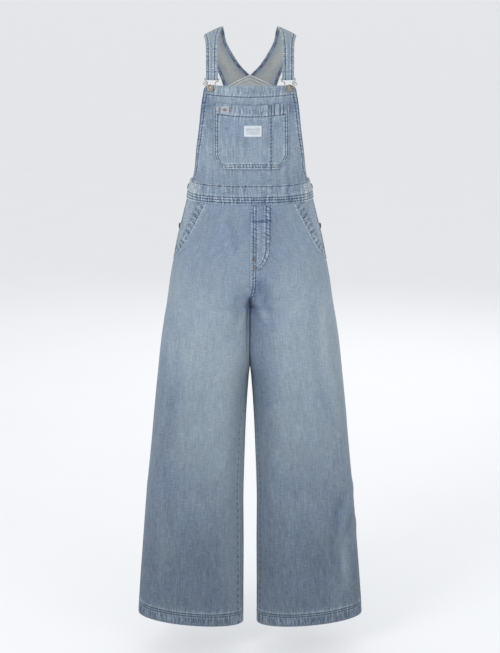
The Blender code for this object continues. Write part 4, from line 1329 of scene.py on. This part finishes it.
def make_back_panel(looks):
    bottom, corner = BAND_TOP - 0.004, BACK_EDGE[-1][0]
    levels = steps(bottom, 3, BAND_TOP + 0.004, 62, corner - 0.016, 10, corner)

    def place(share, level):
        up = np.clip((level - BAND_TOP) / (corner - BAND_TOP), 0, 1)
        height = level + (BACK_APEX - corner) * (1 - np.abs(share)) * up**3
        return torso_point(-share * read(BACK_EDGE, 1, level), height, False)

    panel = Panel(place, fine_ends(84, 0.2, -1, 1), levels, SEWN["back panel"], seed=3.0)
    panel.turned = smooth((panel.from_top - 0.016) / 0.004)
    sew_in("back_panel", panel, DENIM, looks["denim"], folded=True, slub=1.5)
    return hem_threads(panel)


def make_waistbands(looks):
    levels = fine_ends(13, BAND_TOP - WAIST_SEAM, WAIST_SEAM, BAND_TOP)
    quarter = math.pi / 2
    lap = BAND_OVERLAP / float(read(TORSO, 1, WAIST_SEAM)) * 1.7
    lift_from = quarter - 0.22

    def front(angle, height):
        lift = smooth((np.abs(angle) - lift_from) / (quarter - lift_from))
        return ring_point(angle, height, (BAND_WALL + REST) * lift)

    def back(angle, height):
        return ring_point(angle, height, 0 * angle)

    lines = []
    reach, start = quarter + lap, quarter + 0.03
    for word, place, across, paler, seed in (
        ("front", front, fine_ends(196, 0.5, -reach, reach), 0.24, 4.0),
        ("back", back, fine_ends(168, 0.4, start, 2 * math.pi - start), 0.20, 5.0),
    ):
        band = Panel(place, across, levels, SEWN["waistband"], seed=seed)
        # Painted shade over the sunk, puckered seam along the band's foot.
        band.shade = 0.14 * smooth((0.0200 - band.from_bottom) / 0.004)
        name = f"waistband_{word}"
        sew_in(name, band, BAND_WALL, looks["denim"], slub=2.3, paler=paler)
        lines += band.all_threads(BAND_WALL)
        if word == "front":
            lines += [band.line(edge, 0.0025, BAND_WALL) for edge in ("start", "end")]
    return lines


def beside_inseam(levels, side):
    """How far from the inseam the front's own row of stitches runs, seen a little inside the leg's edge."""
    result = []
    for level in levels:
        outline, _, lengths = leg_section(float(level), True)
        x = float(read(INNER, 1, level)) + (0.0048 if side > 0 else 0.0105) + 0.0015 * math.sin(9 * level)
        result.append(lengths[-1] - np.interp(x, outline[::-1, 0], lengths[::-1]))
    return np.array(result)


def make_leg(word, front, side, looks):
    levels = steps(0.0, 16, 0.040, 126, 0.652, 40, 0.810, 20, SLANT_FOOT, 54, WAIST_SEAM)
    slanted = (levels > SLANT_FOOT + 0.002) & front

    def place(share, level):
        start = slant_share(level) if front else 0.0
        return leg_point(start + (1 - start) * share, level, front, side)

    under_flap = levels > FLAP_FOOT - 0.004
    lapped = (levels > CROTCH) & front & (side < 0)
    plain = lapped | ((levels > FLY_FOOT) & front & (side > 0))
    side_rows = (np.where(slanted, SLANT_ROWS[0], OUTER_SEAM), np.where(slanted, SLANT_ROWS[1], NO_ROW))
    side_rope = np.where(slanted, SLANT_ROPE, np.where(under_flap, 0.0, 0.25))
    middle_rope = np.where(plain, 0.0, np.where(levels > CROTCH, 0.45, 0.35))
    shown = (levels > CROTCH) & front & (side > 0)
    middle_rows = [np.where(shown, *pair) for pair in zip(CENTRE_ROWS, INSEAM_ROWS)]
    sewn = {"start": (side_rows, side_rope), "end": (middle_rows, middle_rope), "bottom": LEG_HEM}
    name = f"{'front' if front else 'back'}_leg_{word}"
    seed = 6.0 + 2 * side + front
    leg = Panel(place, fine_ends(100, 0.3), levels, sewn, backwards=front == (side > 0), seed=seed)
    x, height = np.abs(leg.points[..., 0]), leg.points[..., 2] + SHOULDER_HEIGHT
    # Painted shade in the creases' hollows and painted light on their ridges, where denim also wears paler.
    leg.shade = -48 * creases(front, side, x, height)
    if front:
        leg.shade += sum(
            depth * bell(x - at, wide) * bell(height - middle, tall)
            for which, at, middle, wide, tall, depth in SHADES
            if which in (0, side)
        )
        beside = beside_inseam(levels, side)
        away = leg.distances("end")[0]
        below = smooth((0.58 - height) / 0.10)
        leg.felled = away - beside[:, None] + 0.05 * (1 - below)
        # Painted light along the inner edges below the knees, where the cloth turns from the lamps, and
        # paler wear along the inseam.
        leg.shade -= (0.45 if side < 0 else 0.15) * below * smooth(1 - away / 0.07)
    leg.shade -= 0.30 * bell(leg.from_bottom - 0.0342, 0.0020)
    sew_in(name, leg, DENIM, looks["denim"], folded=True)
    wall = np.where(middle_rope > 0, HEM_WALL, DENIM)
    crotch, foot = (float(np.argmax(levels > at)) / (len(levels) - 1) for at in (CROTCH, FLY_FOOT + 0.004))
    last = (foot if side > 0 else crotch) if front else 1.0
    lines = [leg.line("end", row, wall, 0.06, last) for row in middle_rows]
    if front:
        lines.append(leg.line("end", beside, DENIM, 0.07, 0.50))
        crossing = int(np.argmax(slanted)) / (len(levels) - 1)
        lines += leg.threads("start", HEM_WALL, crossing)
    return lines, leg.threads("bottom", HEM_WALL)


def make_facing(word, side, looks):
    """The cloth behind a hip pocket's mouth."""
    levels = steps(SLANT_FOOT + 0.012, 44, WAIST_SEAM)

    def place(share, level):
        edge = slant_share(level)
        here = (edge + FACING_UNDERLAP) * share
        return leg_point(here, level, True, side, -FACING_SET_IN * smooth(here / np.maximum(edge, 0.001)))

    facing = Panel(place, np.linspace(0, 1, 34), levels, SEWN["facing"], backwards=side > 0)
    name, slot = f"pocket_facing_{word}", "denim_wrong_side"
    sew_in(name, facing, DENIM, looks["denim"], slub=2.0, paler=0.12, slot=slot)


def make_flap(word, side, looks):
    """The fastening strip over a side seam. Its values are distances from the seam, forwards below 0."""
    levels = fine_ends(52, 0.14, FLAP_FOOT, WAIST_SEAM)
    width = FLAP_FRONT + FLAP_BACK

    def place(distance, level):
        half = []
        for front, reach in ((True, -distance), (False, distance)):
            share = share_from_side(np.maximum(reach, 0), level, front)
            half.append(leg_point(share, level, front, side, DENIM + REST))
        return np.where((distance < 0)[..., None], *half)

    across = fine_ends(14, width, -FLAP_FRONT, FLAP_BACK)
    flap = Panel(place, across, levels, SEWN["side flap"], backwards=side < 0, seed=9.0 + side)
    name = f"side_flap_{word}"
    sew_in(name, flap, DENIM, looks["denim"], slub=1.7, paler=0.10)
    return flap.all_threads(DENIM)


def make_back_pocket(word, side, looks):
    def place(across, up):
        foot = BACK_POCKET_CORNER + (BACK_POCKET_POINT - BACK_POCKET_CORNER) * (1 - np.abs(across))
        level = foot + (BACK_POCKET_TOP - foot) * up
        half = BACK_POCKET_HALF - BACK_POCKET_TAPER * (1 - up)
        share = share_from_middle(BACK_POCKET_MIDDLE + across * half, level, False)
        belly = BACK_POCKET_BELLY * (1 - across**2) * smooth(2.5 * up)
        return leg_point(share, level, False, side, DENIM + BACK_POCKET_REST + belly)

    across, up = fine_ends(54, 0.144, -1, 1), fine_ends(60, 0.156)
    pocket = Panel(place, across, up, SEWN["back pocket"], backwards=side > 0, seed=11.0 + side)
    name = f"back_pocket_{word}"
    sew_in(name, pocket, DENIM, looks["denim"], folded=True)
    tacks = [pocket.line(edge, 0.0045, HEM_WALL, 0.955, 0.99) for edge in ("start", "end")]
    return pocket.all_threads(HEM_WALL), tacks


def fly_edge(level):
    lift = np.clip((level - FLY_FOOT) / FLY_CURVE, 0.0, 1.0)
    return FLY_WIDTH * (0.16 + 0.84 * np.sqrt(1 - (1 - lift) ** 2))


def make_fly(looks):
    """The mock fly on the wearer's left front."""
    curved = FLY_FOOT + FLY_CURVE * (1 - np.cos(np.linspace(0, math.pi / 2, 26)))
    levels = np.concatenate([curved, np.linspace(FLY_FOOT + FLY_CURVE, WAIST_SEAM, 44)[1:]])

    def place(share, level):
        x = 0.0004 + fly_edge(level) * (1 - share)
        crossing = np.array([share_at(row, here, True) for row, here in zip(x, level[:, 0])])
        return leg_point(crossing, level, True, 1, DENIM + REST)

    fly = Panel(place, fine_ends(34, 0.047)[::-1], levels, SEWN["mock fly"], seed=13.0)
    x, height = fly.points[..., 0], fly.points[..., 2] + SHOULDER_HEIGHT
    # The fly is a little darker all over and a little below the waistband; along the sunk row across it
    # runs a line of painted shade.
    fly.shade = 0.11 + bell(height - FLY_BAR, 0.0024) * smooth((x - 0.004) / 0.003)
    fly.shade += 0.1 * bell(height - 1.0, 0.012)
    sew_in("mock_fly", fly, DENIM, looks["denim"], slub=1.8)
    on_fly = DENIM + REST + DENIM + 0.0001
    lines = fly.all_threads(DENIM)
    lines.append(fly_line([(x, FLY_BAR) for x in np.linspace(0.006, 0.046, 10)], on_fly))
    spots = ((0.872, 0.884), (0.890, 0.902))
    return lines, [fly_line([(0.0105, h) for h in ends], on_fly) for ends in spots]


def make_strap(word, side, looks):
    rows = strap_rows()

    def place(across, row):
        at, out, below = rows[row.astype(int)].transpose(2, 0, 1)
        point = strap_point(across, at, out, side)
        return point - np.stack([0 * below, 0 * below, below], axis=-1)

    across, up = fine_ends(20, 0.03), np.arange(len(rows))
    strap = Panel(place, across, up, SEWN["strap"], backwards=side < 0, seed=15.0 + side)
    # Lengthwise stripes of painted shade and light, where the strap ripples along its length.
    wander = 0.8 + 0.12 * np.sin(31 * strap.from_bottom + side) + 0.08 * np.sin(73 * strap.from_bottom)
    strap.shade = 0.13 * np.sin(2 * np.pi * (strap.from_start / 0.0094 + wander))
    sew_in(f"strap_{word}", strap, STRAP_WALL, looks["denim"], slub=1.7)
    past_bend = (TAIL_ROWS + BEND_ROWS + 3) / (len(rows) - 1)
    crossing = (TAIL_ROWS + BEND_ROWS + FRONT_ROWS - 1) / (len(rows) - 1)
    across_strap = [(share, crossing) for share in np.linspace(0.06, 0.94, 9)]
    return strap.all_threads(STRAP_WALL, past_bend) + [strap.path(across_strap, STRAP_WALL)]


# ---------------------------------------------------------------- metal
def facing_matrix(point, normal):
    """A frame on a surface: Z outwards along the normal, Y up along the surface."""
    z = Vector(normal).normalized()
    x = Vector((0, 0, 1)).cross(z).normalized()
    matrix = Matrix((x, z.cross(x), z)).transposed().to_4x4()
    matrix.translation = Vector(point)
    return matrix


def bib_frame(side):
    x, height = side * BUTTON_AT[0], BUTTON_AT[1]
    base = torso_point(x, height, True)
    return facing_matrix(base, torso_point(x, height, True, 0.01) - base)


def make_button(name, matrix, radius, cloth, underside, material):
    """A tack button with a rolled rim, a sunk ring and a plain domed middle."""
    top = underside + BUTTON_DOME
    profile = (
        (0.0, top - 0.00035),
        (0.20, top - 0.00040),
        (0.34, top - 0.00065),
        (0.40, top - 0.00105),
        (0.46, top - 0.00110),
        (0.52, top - 0.00070),
        (0.60, top - 0.00068),
        (0.66, top - 0.00100),
        (0.72, top - 0.00050),
        (0.79, top - 0.00008),
        (0.86, top),
        (0.93, top - 0.00025),
        (0.985, top - 0.00085),
        (1.0, top - 0.00140),
        (0.985, underside + 0.00050),
        (0.94, underside + 0.00010),
        (0.80, underside),
        (SHANK_RADIUS / radius, underside - 0.0001),
        (SHANK_RADIUS / radius * 0.92, underside - 0.0006),
        (SHANK_RADIUS / radius, cloth),
        (0.0, cloth),
    )
    shape = bmesh.new()
    chain = [shape.verts.new((share * radius, 0, height)) for share, height in profile]
    edges = [shape.edges.new(pair) for pair in zip(chain, chain[1:])]
    bmesh.ops.spin(
        shape, geom=chain + edges, cent=(0, 0, 0), axis=(0, 0, 1), angle=math.tau, steps=40, use_merge=True
    )
    bmesh.ops.remove_doubles(shape, verts=shape.verts, dist=0.00001)
    bmesh.ops.recalc_face_normals(shape, faces=shape.faces)
    bmesh.ops.transform(shape, matrix=matrix, verts=shape.verts)
    link(f"{name}_metal", finished_mesh(name, shape), [material], name, slot="copper")


def tube(node, path, radius, closed, material):
    """Wire along a path, as rings of a circle bridged one to the next."""
    shape = bmesh.new()
    path = np.array(path)
    count = len(path)
    rings = []
    side = None
    for i, point in enumerate(path):
        ahead = path[(i + 1) % count] if closed or i < count - 1 else path[i]
        behind = path[i - 1] if closed or i > 0 else path[i]
        heading = Vector(ahead - behind).normalized()
        side = heading.orthogonal() if side is None else side - heading * side.dot(heading)
        side.normalize()
        frame_here = Matrix((side, heading.cross(side), heading)).transposed().to_4x4()
        frame_here.translation = Vector(point)
        cap = not closed and i in (0, count - 1)
        made = bmesh.ops.create_circle(shape, cap_ends=cap, segments=12, radius=radius, matrix=frame_here)
        rings.append(made["verts"])
    pairs = list(zip(rings, rings[1:])) + ([(rings[-1], rings[0])] if closed else [])
    for low, high in pairs:
        loops = []
        for ring in (low, high):
            inside = set(ring)
            loops += [e for v in ring for e in v.link_edges if e.other_vert(v) in inside]
        bmesh.ops.bridge_loops(shape, edges=list(set(loops)))
    bmesh.ops.recalc_face_normals(shape, faces=shape.faces)
    name = f"{node}_wire"
    link(name, finished_mesh(name, shape), [material], node, slot="nickel")


def rounded_path(points, steps_each=5):
    """A smooth closed curve through points."""
    points = np.array(points)
    result = []
    for i in range(len(points)):
        a, b, c, d = points[np.arange(i - 1, i + 3) % len(points)]
        bend, twist = 2 * a - 5 * b + 4 * c - d, 3 * b - a - 3 * c + d
        for t in np.arange(steps_each) / steps_each:
            result.append(0.5 * (2 * b + (c - a) * t + bend * t**2 + twist * t**3))
    return result


def buckle_wire(bar_y):
    """The wire of a buckle about the button, as points across and up, with its bar at a given height."""
    turns = np.linspace(-math.pi, 0, 11)
    seat = [(SEAT_RADIUS * math.cos(a), SEAT_RADIUS * math.sin(a) + 0.0015) for a in turns]
    corner = BUCKLE_HALF - 0.0010
    half = [(0.0094, 0.0080), (0.0098, 0.0120), (0.0120, 0.0145), (BUCKLE_HALF, bar_y - 0.0050)]
    half += [(BUCKLE_HALF, bar_y - 0.0015), (corner, bar_y)]
    return seat + half + [(-x, y) for x, y in reversed(half)]


def make_buckle(word, side, material):
    matrix = bib_frame(side)
    low = HEM_WALL + WIRE + 0.0004
    inwards = matrix.inverted()
    ends = sorted(tuple(inwards @ Vector(strap_point(share, 0.0, 0.0, side))) for share in (0.0, 1.0))
    path = []
    for x, y in buckle_wire((ends[0][1] + ends[1][1]) / 2):
        share = x / (ends[1][0] - ends[0][0]) + 0.5
        on_bar = [ends[0][i] + (ends[1][i] - ends[0][i]) * share for i in range(3)]
        rise = min(max((y - 0.008) / (on_bar[1] - 0.0095), 0.0), 1.0)
        path.append(matrix @ Vector((x + (on_bar[0] - x) * rise, y, low + (on_bar[2] - low) * rise)))
    tube(f"buckle_{word}", rounded_path(path), WIRE, True, material)

    lift = HEM_WALL + WIRE + 0.0006
    coil = []
    for turn in np.linspace(0, 1.6 * math.tau, 44):
        turns = turn / math.tau
        reach = COIL_RADIUS - 0.0007 + 0.0007 * turns
        x, y = COIL_AT[0] + reach * math.cos(turn), COIL_AT[1] + reach * math.sin(turn)
        coil.append(matrix @ Vector((side * x, y, lift + 0.0006 * turns)))
    tube(f"buckle_coil_{word}", coil, WIRE * 0.85, False, material)


def make_side_buttons(word, side, material):
    """The tack buttons of the waistband's lap and of the strip below it."""
    middle, angle = (WAIST_SEAM + BAND_TOP) / 2, side * (math.pi / 2 + SIDE_BUTTON_BACK / SIDE_CURVE)
    across = ring_point(angle + 0.03, middle) - ring_point(angle - 0.03, middle)
    up = ring_point(angle, middle + 0.004) - ring_point(angle, middle - 0.004)
    on_band = ring_point(angle, middle, BAND_WALL + REST)
    share = share_from_side(SIDE_BUTTON_BACK, SIDE_BUTTON_LOW, False)
    base, outer = (
        leg_point(share, SIDE_BUTTON_LOW, False, side, DENIM + REST + out) for out in (0.0, 0.001)
    )
    for place, at, outwards, cloth in (
        ("upper", on_band, unit(np.cross(across, up)), BAND_WALL),
        ("lower", base, outer - base, DENIM),
    ):
        name, matrix = f"side_button_{word}_{place}", facing_matrix(at, outwards)
        make_button(name, matrix, SIDE_BUTTON_RADIUS, cloth, cloth + SIDE_RIVET, material)


def main():
    add_camera()
    add_stage()
    denim = denim_finish("denim")
    wrong = wrong_side_finish()
    looks = {
        "denim": [denim, wrong],
        "tab": [denim_finish("pale tab cloth", 0.22), wrong],
        "label": [label_finish()],
    }
    thread = thread_finish("seam thread", (82, 96, 116))
    dark_thread = thread_finish("dark seam thread", (62, 74, 92))
    rust = thread_finish("bar tack thread", (132, 104, 94))
    copper = metal_finish("copper", (96, 89, 84), (174, 167, 160), 0.42)
    nickel = metal_finish("nickel", (118, 118, 116), (206, 205, 202), 0.34)

    rows = {
        "bib": make_bib(looks),
        "back_panel": make_back_panel(looks),
        "waistbands": make_waistbands(looks),
    }
    rows["bib_pocket"], bib_tacks, zigzag = make_bib_pocket(looks)
    rows["mock_fly"], fly_tacks = make_fly(looks)
    tacks = bib_tacks + fly_tacks
    hems = []
    for word, side in (("left", 1), ("right", -1)):
        for front in (True, False):
            name = f"{'front' if front else 'back'}_leg_{word}"
            rows[name], more = make_leg(word, front, side, looks)
            hems += more
        make_facing(word, side, looks)
        rows[f"side_flap_{word}"] = make_flap(word, side, looks)
        rows[f"back_pocket_{word}"], more = make_back_pocket(word, side, looks)
        tacks += more
        rows[f"strap_{word}"] = make_strap(word, side, looks)
        underside = HEM_WALL + 2 * WIRE + RIVET
        make_button(f"bib_button_{word}", bib_frame(side), BUTTON_RADIUS, DENIM, underside, copper)
        make_buckle(word, side, nickel)
        make_side_buttons(word, side, copper)
    for name, lines in rows.items():
        stitched(f"stitching_{name}", lines, thread)
    stitched("stitching_leg_hems", hems, dark_thread, size=HEM_THREAD)
    stitched("stitching_tab", zigzag, rust, crossways=SATIN)
    stitched("bar_tacks", tacks, rust, crossways=BAR_TACK)


main()
